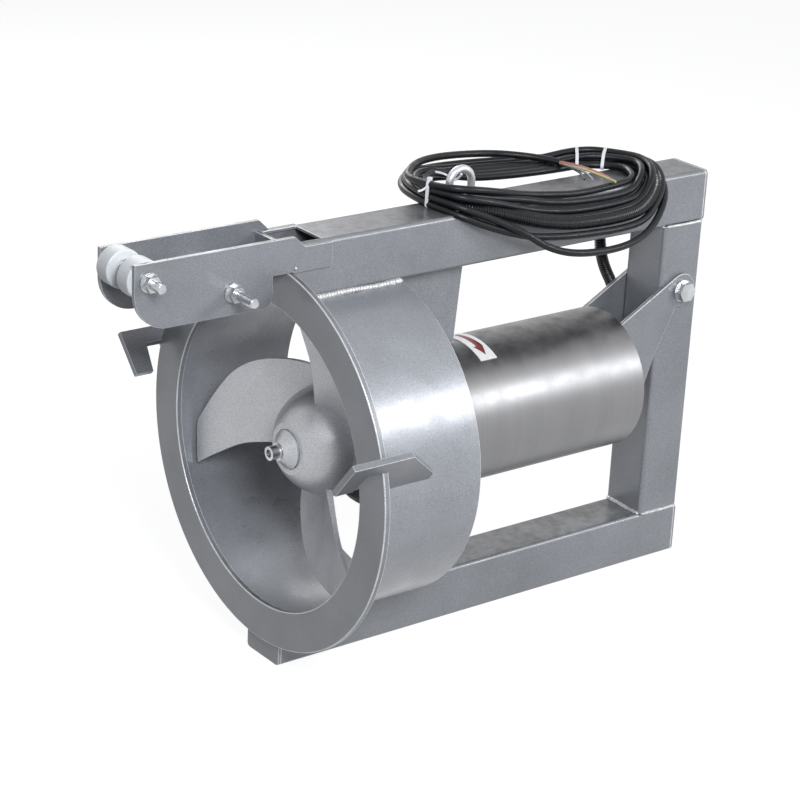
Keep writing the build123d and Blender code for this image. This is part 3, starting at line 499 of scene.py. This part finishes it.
def finished(shape: bmesh.types.BMesh, name: str, finish: Finish) -> Piece:
    """Make a shape, already in place, a piece of the pump with its finish."""
    mesh = mesh_of(shape, name)
    mesh.materials.append(material_of(finish))
    mesh.shade_smooth()
    mesh.set_sharp_from_angle(angle=SHARP_ANGLE)
    piece = placed(name, mesh)
    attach(piece, BODY)
    LOG.info("piece %s: %d faces", name, len(mesh.polygons))
    return piece


def turned(profile: Sequence[tuple[float, float]], seat: Matrix) -> bmesh.types.BMesh:
    """Turn a closed profile, of points along the X axis and out from it, round X and move it to its seat."""
    shape = bmesh.new()
    corners = [shape.verts.new((along, 0.0, out)) for along, out in profile]
    edges = [shape.edges.new((one, other)) for one, other in zip(corners, corners[1:] + corners[:1])]
    how = {"cent": (0, 0, 0), "axis": (1, 0, 0), "angle": math.tau, "steps": 48}
    bmesh.ops.spin(shape, geom=corners + edges, use_merge=True, use_duplicate=False, **how)
    bmesh.ops.transform(shape, matrix=seat, verts=shape.verts)
    return shape


def flow(points: Sequence[Vector]) -> list[Matrix]:
    """Return frames that follow a line without twisting, their Z axes along it."""
    frames = []
    side = Vector((0.0, 0.0, 1.0))
    for index, point in enumerate(points):
        before = points[max(index - 1, 0)]
        after = points[min(index + 1, len(points) - 1)]
        ahead = (after - before).normalized()
        side = side - ahead * side.dot(ahead)
        if side.length < 1e-4:
            side = ahead.orthogonal()
        side.normalize()
        turn = Matrix((side, ahead.cross(side), ahead)).transposed().to_4x4()
        frames.append(Matrix.Translation(point) @ turn)
    return frames


def tube(points: Sequence[Vector], radii: Sequence[float], sides: int) -> bmesh.types.BMesh:
    """Lay rings of given radii along a line, bridge each to the next and close both ends."""
    shape = bmesh.new()
    rings = []
    for frame, radius in zip(flow(points), radii):
        ring = bmesh.ops.create_circle(shape, cap_ends=False, radius=radius, segments=sides, matrix=frame)["verts"]
        rings.append(list({edge for vert in ring for edge in vert.link_edges}))
    for ring, following in zip(rings, rings[1:]):
        bmesh.ops.bridge_loops(shape, edges=ring + following)
    bmesh.ops.holes_fill(shape, edges=[edge for edge in shape.edges if edge.is_boundary], sides=sides)
    return shape


def curve_line(curve: Piece) -> list[Vector]:
    """Return the centreline of a curve's own spline, read from a copy with no bevel."""
    bare = placed("bare_line", curve.data.copy())
    bare.data.bevel_depth = 0.0
    bpy.context.view_layer.update()
    mesh = bpy.data.meshes.new_from_object(bare.evaluated_get(bpy.context.evaluated_depsgraph_get()))
    line = [vertex.co.copy() for vertex in mesh.vertices]
    bpy.data.objects.remove(bare)
    bpy.data.meshes.remove(mesh)
    return line


def stretch_of(line: Sequence[Vector], start: float, end: float, step: float) -> list[Vector]:
    """Return points at even steps along a line, between two distances along it."""
    found = []
    gone = 0.0
    wanted = start
    for one, other in zip(line, line[1:]):
        length = (other - one).length
        while wanted <= gone + length and wanted <= end:
            found.append(one.lerp(other, (wanted - gone) / max(length, 1e-9)))
            wanted += step
        gone += length
    return found


def nurbs_cord(
    name: str, points: Sequence[Point], radius: float, finish: Finish, bevel: int
) -> Piece:
    """Make a smooth round cord from given control points.

    Args:
        name: the piece's name.
        points: control points in millimetres.
        radius: the cord's radius in metres.
        finish: what it is made of.
        bevel: bevel resolution.

    Returns:
        The curve object.
    """
    data = bpy.data.curves.new(name, "CURVE")
    data.dimensions = "3D"
    spline = data.splines.new("NURBS")
    spline.points.add(len(points) - 1)
    for control, point in zip(spline.points, points):
        control.co = (*(value / MM_PER_M for value in point), 1.0)
    spline.order_u = 3
    spline.use_endpoint_u = True
    spline.resolution_u = 10
    data.resolution_u = 10
    data.bevel_depth = radius
    data.bevel_resolution = bevel
    data.use_fill_caps = True
    data.materials.append(material_of(finish))
    piece = placed(name, data)
    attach(piece, BODY)
    return piece


def hull(cloud: Sequence[Vector]) -> list[Vector]:
    """Return the corners of the convex outline round flat points."""
    ordered = sorted(cloud, key=lambda point: (point.x, point.y))

    def half(points: Iterable[Vector]) -> list[Vector]:
        """Return one side of the outline."""
        side: list[Vector] = []
        for point in points:
            while len(side) > 1 and (side[-1] - side[-2]).cross(point - side[-1]) <= 1e-12:
                side.pop()
            side.append(point)
        return side[:-1]

    return half(ordered) + half(reversed(ordered))


# ---------------------------------------------------------------- cable


@dataclass(frozen=True)
class Station:
    """A cut across the hank, where its turns lie between an outer and an inner place.

    Attributes:
        outer: place of the outermost turn, along the beam and across it, in millimetres.
        inner: place of the innermost turn.
        shares: each slot's share of the way from outer to inner.
        rows: each slot's layer, counted up from the beam.
    """

    outer: tuple[float, float]
    inner: tuple[float, float]
    shares: tuple[float, ...]
    rows: tuple[float, ...]

    def slot_place(self, slot: int) -> tuple[float, float, float]:
        """Return a slot's place along the beam, across it and its layer."""
        share = self.shares[slot]
        along = self.outer[0] + (self.inner[0] - self.outer[0]) * share
        across = self.outer[1] + (self.inner[1] - self.outer[1]) * share
        return along, across, self.rows[slot]


# The slot that each turn lies in, on the hank's near side and on its far side.
NEAR_ORDER = (2, 1, 0, 3, 4, 5, 6)
FAR_ORDER = (2, 0, 1, 3, 4, 5, 6)
FLAT = (0, 0, 0, 0, 0, 0, 0)
SLOPED = (0, 0, 0.4, 0, 0, 0, 0)
FAR_SHARES = (0, 0.18, 0.36, 0.72, 0.54, 0.9, 1)
BEND_SHARES = (0, 0.14, 0.36, 0.7, 0.5, 0.88, 1)
BEND_ROWS = (0, 1, 0, 0, 1.05, 1, 0)


@dataclass
class Hank:
    """The cable: up from the gland, round the hank in seven turns, and its free end on top."""

    # Places and lengths in millimetres.
    diameter: float = 9.5
    beam_top: float = 279.0
    edge: float = -29.0
    corner: float = 6.0
    clearance: float = 0.4
    layer: float = 9.0
    rise: tuple[Point, ...] = (
        (557, 62, 40), (574, 62, 40), (596, 62, 46), (614, 62, 60), (622, 62, 80), (616, 62, 102), (602, 63, 124),
        (592, 64, 150), (589, 66, 185), (589, 68, 220), (592, 62, 250), (599, 50, 271), (604, 28, 283),
    )
    stations: tuple[Station, ...] = (
        Station((616, 54), (560, 34), (0, 0.167, 0.333, 0.5, 0.667, 0.833, 1), (0, 0, 0, 1.3, 0, 1.1, 0)),
        Station((614, -2), (573, 10), (0, 0.07, 0.22, 0.34, 0.48, 0.56, 1), (0, 1.1, 0.3, 1.5, 0, 1.1, 0.3)),
        Station((597, -58), (562, -18), (0, 0.12, 0.3, 0.45, 0.6, 0.75, 1), (0, 0.8, 0.5, 1.2, 0, 0.9, 0.2)),
        Station((546, -105), (552, -28), (0, 0.2, 0.36, 0.52, 0.65, 0.8, 1), (0, 0, 0.45, 0.3, 0, 0.3, 0)),
        Station((489.7, -124), (535, -35), (0, 0.29, 0.43, 0.59, 0.7, 0.82, 1), SLOPED),
        Station((411, -122), (453, -39.5), (0, 0.32, 0.45, 0.6, 0.72, 0.865, 1), SLOPED),
        Station((367, -106), (404.5, -32), (0, 0.21, 0.4, 0.56, 0.68, 0.84, 1), SLOPED),
        Station((334, -91), (370, -28), (0.02, 0.13, 0.38, 0.56, 0.7, 0.85, 1), (1, 0, 0.6, 0.2, 0, 0.3, 0.4)),
        Station((290, -61), (306, -31), (0, 0.15, 0.42, 0.85, 0.55, 0.95, 0.85), (0, 0.75, 0.75, 0, 1.5, 1.1, 2.3)),
        Station((251, -36), (266, -25), (0, 0.05, 0.9, 0.95, 0.3, 0.95, 0.6), (0, 1, 0.2, 1.1, 2, 2.1, 3)),
        Station((243, 16), (254, 18), (0, 0.1, 1, 1, 0.2, 1, 0.6), (0, 1, 0, 1, 2, 2, 3)),
        Station((254, 82), (284, 66), BEND_SHARES, BEND_ROWS),
        Station((296, 128), (318, 90), BEND_SHARES, BEND_ROWS),
        Station((345, 139), (358, 66), FAR_SHARES, FLAT),
        Station((412, 130), (415, 50), FAR_SHARES, FLAT),
        Station((484, 110), (480, 44), FAR_SHARES, FLAT),
        Station((562, 90), (530, 44), (0, 0.17, 0.34, 0.6, 0.68, 0.84, 1), (0, 1.3, 0, 0, 1.1, 0, 0.3)),
    )
    free_end: tuple[Point, ...] = (
        (247, -2, 309), (243.2, 54.5, 306), (263.5, 75, 309), (287.4, 92.9, 309), (312.4, 104.3, 308),
        (343.6, 111.9, 306), (389, 115.5, 302), (429.8, 108.9, 299), (455.5, 94.7, 297), (479.5, 74.5, 295),
        (495, 51.2, 293),
    )
    cores: tuple[tuple[str, Colour, tuple[Point, ...]], ...] = (
        ("rose", (0.55, 0.2, 0.19), ((492, 52, 294), (500, 28, 295), (506, 8, 294), (511, -13, 292), (512, -28, 290))),
        ("pale", (0.62, 0.6, 0.3), ((492, 53, 293), (500, 28, 293), (503, 3, 293), (507, -22, 291), (510, -43, 289))),
        ("grey", (0.36, 0.36, 0.38), ((494, 54, 292), (498, 31, 292), (500, 14, 291), (498, -3, 290), (493, -17, 288))),
        ("dark", (0.05, 0.05, 0.055), ((495, 56, 291), (499, 37, 290), (499, 20, 289), (495, 6, 288), (485, -10, 287))),
    )
    sleeve_end: Point = (266, -27, 287)
    # Counts, shares and an angle.
    turns: int = 7
    near_stations: int = 8
    last_station: int = 10
    first_turn: float = 1.35
    sides: int = 14
    slope: float = math.radians(45)
    # Places and lengths in metres.
    gland: Point = (0.557, 0.062, 0.040)
    core_radius: float = 0.0017
    tail_radius: float = 0.0015
    sleeve_start: float = 0.0195
    sleeve_radius: float = 0.0078
    sleeve_pitch: float = 0.0033
    sleeve_wave: tuple[float, ...] = (0.0, 0.0006, 0.0, -0.0011)
    tie_width: float = 0.0042
    tie_thickness: float = 0.0012
    tie_gap: float = 0.0009
    tie_head: Point = (0.0062, 0.0036, 0.006)
    head_lift: float = 0.0014
    line: list[Vector] = field(default_factory=list)

    @property
    def radius(self) -> float:
        """Return the cable's radius in metres."""
        return self.diameter / 2 / MM_PER_M

    def lay(self, along: float, across: float, row: float) -> Point:
        """Lay a place on the beam's top, or down past its near edge.

        Args:
            along: place along the beam.
            across: distance across it, measured over the edge and down the slope.
            row: layer above the beam.

        Returns:
            The cable's centre.
        """
        height = self.diameter / 2 + row * self.layer + self.clearance
        over = self.edge - across
        if over <= 0:
            return along, across, self.beam_top + height
        bend = self.corner + height
        turn = min(over / bend, self.slope)
        drop = max(0.0, over - bend * self.slope)
        return (
            along,
            self.edge - bend * math.sin(turn) - drop * math.cos(self.slope),
            self.beam_top - self.corner + bend * math.cos(turn) - drop * math.sin(self.slope),
        )

    def route(self) -> list[Point]:
        """Return the control points of the whole cable."""
        points = list(self.rise)
        for turn in range(self.turns):
            for index, station in enumerate(self.stations):
                order = NEAR_ORDER if index < self.near_stations else FAR_ORDER
                joins = turn == 0 and index == 0
                ended = turn == self.turns - 1 and index >= self.last_station
                if not joins and not ended:
                    points.append(self.lay(*station.slot_place(order[turn])))
        return points + list(self.free_end)

    def make_cable(self) -> Piece:
        """Make the cable and keep its centreline."""
        cable = nurbs_cord("cable_hank", self.route(), self.radius, SHEATH, bevel=5)
        self.line = curve_line(cable)
        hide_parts("cable_run", "cable_coil")
        LOG.info("cable %.2f m long", self.length())
        return cable

    def length(self) -> float:
        """Return the cable's length in metres."""
        return sum((other - one).length for one, other in zip(self.line, self.line[1:]))

    def make_core(self, name: str, colour: Colour, places: Sequence[Point]) -> Piece:
        """Make a stripped conductor at the free end."""
        finish = MouldedPlastic(f"core_{name}_skin", tuple(value * 0.8 for value in colour), colour, 0.4)
        return nurbs_cord(f"core_{name}", places, self.core_radius, finish, bevel=3)

    def make_relief(self) -> Piece:
        """Make the tapered boot round the cable behind the gland nut."""
        start, inner = 0.0005, self.radius - 0.0005
        profile = [(start, inner), (start, 0.0115), (0.004, 0.0115), (0.0055, 0.0106), (0.009, 0.0106)]
        profile += [(0.0105, 0.01), (0.015, 0.0098), (0.0205, 0.0093), (0.0215, inner + 0.0003)]
        shape = turned(profile, Matrix.Translation(Vector(self.gland)))
        return finished(shape, "gland_boot", NITRILE)

    def distance_near(self, place: Point) -> float:
        """Return how far along the line, in metres, its first turn comes nearest to a place."""
        target = Vector(place) / MM_PER_M
        limit = self.first_turn * self.length() / self.turns
        gone, best, found = 0.0, math.inf, 0.0
        for one, other in zip(self.line, self.line[1:]):
            if gone < limit and (one - target).length < best:
                best, found = (one - target).length, gone
            gone += (other - one).length
        return found

    def make_sleeve(self) -> Piece:
        """Make the corrugated sleeve, from the boot up the run and along the first turn's near side."""
        wave = self.sleeve_wave
        last = self.distance_near(self.sleeve_end)
        path = stretch_of(self.line, self.sleeve_start, last, self.sleeve_pitch / len(wave))
        radii = [self.sleeve_radius + wave[index % len(wave)] for index in range(len(path))]
        return finished(tube(path, radii, self.sides), "ribbed_sleeve", SLEEVE)

    def crossings(self, start: Vector, across: Vector, ahead: Vector, reach: float) -> list[Vector]:
        """Return the cable's centres, across and up, in an upright plane from a start over a reach across."""
        found = []
        for one, other in zip(self.line, self.line[1:]):
            before, after = (one - start).dot(ahead), (other - start).dot(ahead)
            if before * after < 0:
                place = one.lerp(other, before / (before - after))
                along = (place - start).dot(across)
                if 0 <= along <= reach and place.z > self.beam_top / MM_PER_M:
                    found.append(Vector((along, place.z)))
        return found

    def make_tie(self, name: str, near: Sequence[float], far: Sequence[float], headed: bool = False) -> Piece:
        """Make a white tie pulled round the turns between two places.

        Args:
            name: the tie's name.
            near: its near end, along the beam and across it.
            far: its far end.
            headed: whether its head lies on top.

        Returns:
            The tie in one piece.
        """
        start = Vector((*near, 0.0)) / MM_PER_M
        run = Vector((*far, 0.0)) / MM_PER_M - start
        across = run.normalized()
        up = Vector((0.0, 0.0, 1.0))
        ahead = across.cross(up)
        grip = self.radius + self.tie_gap
        turns = [math.tau * index / self.sides for index in range(self.sides)]
        round_cable = [Vector((math.cos(turn), math.sin(turn))) * grip for turn in turns]
        places = self.crossings(start, across, ahead, run.length)
        outline = hull([place + reach for place in places for reach in round_cable])
        shape = bmesh.new()
        face = shape.faces.new([shape.verts.new((point.x, point.y, -self.tie_width / 2)) for point in outline])
        bmesh.ops.delete(shape, geom=[face], context="FACES_ONLY")
        wall = bmesh.ops.extrude_edge_only(shape, edges=list(shape.edges))["geom"]
        lifted = [item for item in wall if isinstance(item, bmesh.types.BMVert)]
        bmesh.ops.translate(shape, vec=(0, 0, self.tie_width), verts=lifted)
        bmesh.ops.recalc_face_normals(shape, faces=shape.faces)
        bmesh.ops.solidify(shape, geom=list(shape.faces), thickness=self.tie_thickness)
        if headed:
            top = max(outline, key=lambda point: point.y)
            place = Matrix.Translation((top.x, top.y + self.head_lift, 0)) @ Matrix.Diagonal((*self.tie_head, 1))
            head = bmesh.ops.create_cube(shape, size=1.0, matrix=place)["verts"]
            edges = list({edge for vert in head for edge in vert.link_edges})
            how = {"offset": 0.0008, "segments": 2, "profile": 0.5, "affect": "EDGES", "material": -1}
            bmesh.ops.bevel(shape, geom=edges, **how)
        seat = Matrix.Translation(start) @ Matrix((across, up, ahead)).transposed().to_4x4()
        bmesh.ops.transform(shape, matrix=seat, verts=shape.verts)
        return finished(shape, name, TIE)

    def make_tail(self, name: str, places: Sequence[Point]) -> Piece:
        """Make a tie's loose tail, a thin strap through given places."""
        return nurbs_cord(name, places, self.tail_radius, TIE, bevel=2)

    def build(self) -> None:
        cable = self.make_cable()
        cores = [self.make_core(*row) for row in self.cores]
        relief = self.make_relief()
        sleeve = self.make_sleeve()
        ties = [
            self.make_tie("tie_left", (238, 7), (264, 23), headed=True),
            self.make_tie("tie_far_one", (524, 50), (563, 98)),
            self.make_tie("tie_far_two", (542, 22), (594, 70)),
        ]
        strap = ((262, 20, 320), (269, 8, 320), (277, 4, 311), (281, -2, 314), (281, -8, 322))
        tails = [
            self.make_tail("tie_left_tail", ((241, 10, 306), (234, 6, 304), (226, 8, 303))),
            self.make_tail("tie_left_strap", strap),
        ]
        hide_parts("cable_ties")


# ---------------------------------------------------------------- weld beads and arrow


@dataclass
class Welds:
    """Beads where the plates, the tube and the square tubes meet, in metres."""

    step: float = 0.0011
    ripple: float = 0.0044
    swell: float = 0.021
    sway: float = 0.013
    sides: int = 8
    tube_radius: float = 0.209
    half: float = 0.035
    lift: float = 0.0018
    proud: float = 0.0005
    eye_bar: float = 0.0056

    def bead(self, name: str, corners: Sequence[Point], radius: float, seed: int, wander: float = 0.3) -> None:
        """Lay a rippled bead along a line.

        Args:
            name: the bead's name without its first word.
            corners: the line's points.
            radius: the bead's mean radius.
            seed: seed of its unevenness.
            wander: share of the radius by which it strays.
        """
        path = stretch_of([Vector(corner) for corner in corners], 0.0, 1e9, self.step)
        phase = random.Random(seed).random() * math.tau
        radii = []
        for index in range(len(path)):
            along = index * self.step
            short, long = math.sin(along / self.ripple * math.tau + phase), math.sin(along / self.swell + phase)
            wave = 1.0 + 0.13 * short + 0.12 * long
            ends = min(1.0, (index + 1.5) / 5, (len(path) - index + 0.5) / 5)
            radii.append(radius * wave * ends)
            stray = wander * radius * math.sin(along / self.sway + 2.3 * phase)
            path[index] = path[index] + Vector((stray * 0.3, 0.0, stray * 0.4))
        finished(tube(path, radii, self.sides), f"bead_{name}", WELD)

    def ring(self, radius: float, along: float, start: float, end: float, count: int = 90) -> list[Point]:
        """Return points of an arc round the X axis, its angles in degrees from +Y towards +Z."""
        turns = [math.radians(start + (end - start) * index / count) for index in range(count + 1)]
        return [(along, radius * math.cos(turn), radius * math.sin(turn)) for turn in turns]

    def build(self) -> None:
        """Lay every bead."""
        foot = math.sqrt(self.tube_radius**2 - self.half**2) + self.lift
        for side, sign in (("near", -1), ("far", 1)):
            y = sign * (self.half + self.proud)
            for name, start, end, z, radius, seed in (
                ("top_beam", 0.010, 0.176, foot, 0.0042, 3),
                ("low_beam", 0.010, 0.176, -foot, 0.0036, 7),
                ("column_top", 0.616, 0.682, 0.209, 0.0022, 11),
                ("column_foot", 0.616, 0.682, -0.209, 0.0022, 15),
            ):
                self.bead(f"{name}_{side}", [(start, y, z), (end, y, z)], radius, seed + sign)
        inside, outside = self.tube_radius - 0.001, self.tube_radius + 0.0008
        self.bead("column_front_foot", [(0.6138, -0.033, -0.2085), (0.6138, 0.033, -0.2085)], 0.0032, 19)
        self.bead("column_front_top", [(0.6138, -0.033, 0.2085), (0.6138, 0.033, 0.2085)], 0.0030, 20)
        self.bead("tube_rear_top", self.ring(inside, 0.1758, 80.6, 99.4, 20), 0.0034, 23)
        self.bead("tube_rear_low", self.ring(inside, 0.1758, -99.4, -80.6, 20), 0.0034, 24)
        self.bead("flange_near", self.ring(outside, 0.0088, 110.0, 258.0), 0.0024, 25)
        self.bead("flange_far", self.ring(outside, 0.0088, -78.0, 70.0), 0.0024, 26)
        self.bead("web_top_near", [(0.180, -0.0045, 0.2085), (0.292, -0.0045, 0.2085)], 0.0026, 27)
        self.bead("web_top_far", [(0.180, 0.0045, 0.2085), (0.292, 0.0045, 0.2085)], 0.0026, 28)
        self.bead("plate_toe", [(0.0095, -0.0412, 0.254), (0.0095, -0.0412, 0.249)], 0.0034, 29, 0.1)
        for name, x, seed in (("front", 0.269, 36), ("rear", 0.304, 35)):
            turns = [math.tau * index / 24 for index in range(25)]
            rim = [(x + self.eye_bar * math.cos(a), self.eye_bar * math.sin(a), 0.2798) for a in turns]
            self.bead(f"eye_{name}", rim, 0.0019, seed, 0.1)


@dataclass
class ArrowMark:
    """Plain arrow on the curved plate, showing which way the propeller turns, in metres."""

    front: float = 0.299
    width: float = 0.026
    radius: float = 0.0959
    thickness: float = 0.00025
    shaft: float = 0.0052
    head: float = 0.0145
    reach: float = 0.032
    neck: float = 0.014
    facet: float = 0.0045
    offset: float = 0.01

    def build(self) -> None:
        """Build the arrow as a thin skin bent round the barrel."""
        shape = bmesh.new()
        centre = self.front + self.width / 2
        tail, neck = (self.reach, -self.shaft / 2), (-self.neck, -self.shaft / 2)
        outline = [tail, neck, (-self.neck, -self.head / 2), (-self.reach, 0.0)]
        outline += [(along, -across) for along, across in reversed(outline[:3])]
        shape.faces.new([shape.verts.new((centre + across, along, 0.0)) for along, across in outline])
        bmesh.ops.triangulate(shape, faces=shape.faces)
        for level in range(-8, 9):
            everything = [*shape.verts, *shape.edges, *shape.faces]
            cut = (0, level * self.facet, 0)
            bmesh.ops.bisect_plane(shape, geom=everything, plane_co=cut, plane_no=(0, 1, 0))
        bmesh.ops.recalc_face_normals(shape, faces=shape.faces)
        bmesh.ops.solidify(shape, geom=list(shape.faces), thickness=self.thickness)
        for vert in shape.verts:
            reach = self.radius + abs(vert.co.z)
            turn = (vert.co.y - self.offset) / self.radius
            vert.co = Vector((vert.co.x, reach * math.sin(turn), reach * math.cos(turn)))
        finished(shape, "arrow_mark", ARROW)


# ---------------------------------------------------------------- stage


@dataclass
class Studio:
    """Camera, floor, backdrop and lamps; angles in degrees, the focal length in pixels, the rest in metres."""

    azimuth: float = -38.119
    elevation: float = 21.497
    roll: float = 2.969
    focal: float = 2482.851
    picture: float = 800.0
    sensor: float = 36.0
    eye: Point = (-1.605503, -2.312021, 1.188597)
    centre: Point = (0.28, 0.0, 0.0)
    clip_end: float = 50.0
    floor_level: float = -0.2795
    floor_size: float = 12.0
    floor_colour: Colour = (0.22, 0.22, 0.22)
    floor_glow: float = 0.88

    def build_camera(self) -> None:
        """Place the camera as the photograph has it."""
        turn, lift, roll = (math.radians(value) for value in (self.azimuth, self.elevation, self.roll))
        right = Vector((math.cos(turn), math.sin(turn), 0.0))
        back = Vector((math.sin(turn) * math.cos(lift), -math.cos(turn) * math.cos(lift), math.sin(lift)))
        up = back.cross(right)
        axes = (right * math.cos(roll) + up * math.sin(roll), up * math.cos(roll) - right * math.sin(roll), back)
        data = bpy.data.cameras.new("camera")
        data.sensor_width = self.sensor
        data.lens = self.focal / self.picture * data.sensor_width
        data.clip_end = self.clip_end
        camera = placed("camera", data)
        camera.matrix_world = Matrix.Translation(self.eye) @ Matrix(axes).transposed().to_4x4()
        bpy.context.scene.camera = camera

    def pale(self, name: str) -> Material:
        """Return a floor that shows white to the camera and in gloss, and still takes the object's shadow."""
        shader = Shader(name)
        tone = shader.ramp(shader.noise(1.5), ((0.0, self.floor_colour), (1.0, self.floor_colour)))
        shader.feed(Base_Color=tone, Roughness=1.0, Specular_IOR_Level=0.0)
        light = shader.node("ShaderNodeEmission")
        light.inputs["Color"].default_value = WHITE
        glow = reckoned(shader.tree, "MULTIPLY", seeing_rays(shader.tree), self.floor_glow)
        shader.link(glow, light.inputs["Strength"])
        both = shader.node("ShaderNodeAddShader")
        shader.link(shader.surface.outputs["BSDF"], both.inputs[0])
        shader.link(light.outputs["Emission"], both.inputs[1])
        shader.link(both.outputs["Shader"], shader.output.inputs["Surface"])
        return shader.material

    def build_floor(self) -> None:
        """Lay the floor."""
        shape = bmesh.new()
        middle = Matrix.Translation((0.2, 0.0, self.floor_level))
        bmesh.ops.create_grid(shape, x_segments=1, y_segments=1, size=self.floor_size, matrix=middle)
        floor = placed("floor", mesh_of(shape, "floor"))
        floor.data.materials.append(self.pale("floor_white"))

    def build_world(self) -> None:
        """Light the scene evenly from all round and show the camera a white backdrop."""
        world = bpy.data.worlds.new("studio")
        bpy.context.scene.world = world
        world.use_nodes = True
        tree = world.node_tree
        tree.nodes.clear()
        output = tree.nodes.new("ShaderNodeOutputWorld")
        mix = tree.nodes.new("ShaderNodeMixShader")
        tree.links.new(seeing_rays(tree), mix.inputs["Fac"])
        for slot, colour, strength in ((1, (0.93, 0.96, 1.0, 1.0), 0.25), (2, WHITE, 1.0)):
            light = tree.nodes.new("ShaderNodeBackground")
            light.inputs["Color"].default_value = colour
            light.inputs["Strength"].default_value = strength
            tree.links.new(light.outputs["Background"], mix.inputs[slot])
        tree.links.new(mix.outputs["Shader"], output.inputs["Surface"])

    def lamp(self, name: str, place: Point, size: tuple[float, float], power: float, colour: Colour) -> None:
        """Hang a soft rectangular lamp at a place, with its power in watts, and point it at the pump."""
        data = bpy.data.lights.new(name, "AREA")
        data.shape = "RECTANGLE"
        data.size, data.size_y = size
        data.energy = power
        data.color = colour
        aim = (Vector(place) - Vector(self.centre)).to_track_quat("Z", "Y").to_matrix().to_4x4()
        placed(name, data).matrix_world = Matrix.Translation(place) @ aim

    def build_lamps(self) -> None:
        """Hang the lamps: broad ones at the camera's right and left, one over the front, one behind."""
        self.lamp("lamp_right", (1.99, -2.1, 1.29), (1.1, 0.6), 34.0, (0.98, 0.99, 1.0))
        self.lamp("lamp_left", (-0.8, -2.33, 1.74), (1.0, 0.8), 66.0, (0.96, 0.98, 1.0))
        self.lamp("lamp_front", (-1.5, -1.0, 2.2), (1.5, 1.2), 2.0, (0.97, 0.985, 1.0))
        self.lamp("lamp_behind", (0.9, 2.6, 1.5), (1.6, 1.0), 30.0, (1.0, 1.0, 1.0))


# ---------------------------------------------------------------- CAD pieces

BAR = "lifting_eye"  # the one coated node of round bar, with no edges to soften
SOFT_EDGES = {
    "WELD": {"merge_threshold": 1e-5},
    "DECIMATE": {"decimate_type": "DISSOLVE", "angle_limit": math.radians(0.6)},
    "BEVEL": {
        "width": 0.0009, "segments": 2, "profile": 0.5, "use_clamp_overlap": True,
        "limit_method": "ANGLE", "angle_limit": math.radians(38), "material": 1,
    },
    "WEIGHTED_NORMAL": {"keep_sharp": False, "weight": 60},
}


def soften(node: Piece) -> None:
    """Round a coated node's edges by about a millimetre and paint them bright there, partly paint wear and partly a
    painted highlight.
    """
    node.data.materials.append(material_of(EDGE_WEAR_AND_HIGHLIGHT_COAT))
    for kind, values in SOFT_EDGES.items():
        modifier = node.modifiers.new(kind.lower(), kind)
        for key, value in values.items():
            setattr(modifier, key, value)


def dress(nodes: dict[str, Piece], record: dict) -> None:
    """Give every CAD node the finish of its slot in the record, or its own where it has one, and soft edges."""
    for part in record["subparts"]:
        name, slot = part["node"], part["material_slot"]
        finish = NODE_FINISHES.get(name, SLOT_FINISHES[slot])
        materials = nodes[name].data.materials
        materials.clear()
        materials.append(material_of(finish))
        if slot == Slot.FRAME_PAINT.value and name != BAR:
            soften(nodes[name])
        LOG.info("node %s: %s", name, finish.name)


def main() -> None:
    """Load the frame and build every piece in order."""
    logging.basicConfig(level=logging.INFO, format="%(name)s %(message)s")
    bpy.context.scene.view_settings.view_transform = "Standard"
    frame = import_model()
    studio = Studio()
    studio.build_camera()
    Hank().build()
    dress(frame["nodes"], frame["record"])
    Welds().build()
    ArrowMark().build()
    studio.build_floor()
    studio.build_world()
    studio.build_lamps()


if __name__ == "__main__":
    main()
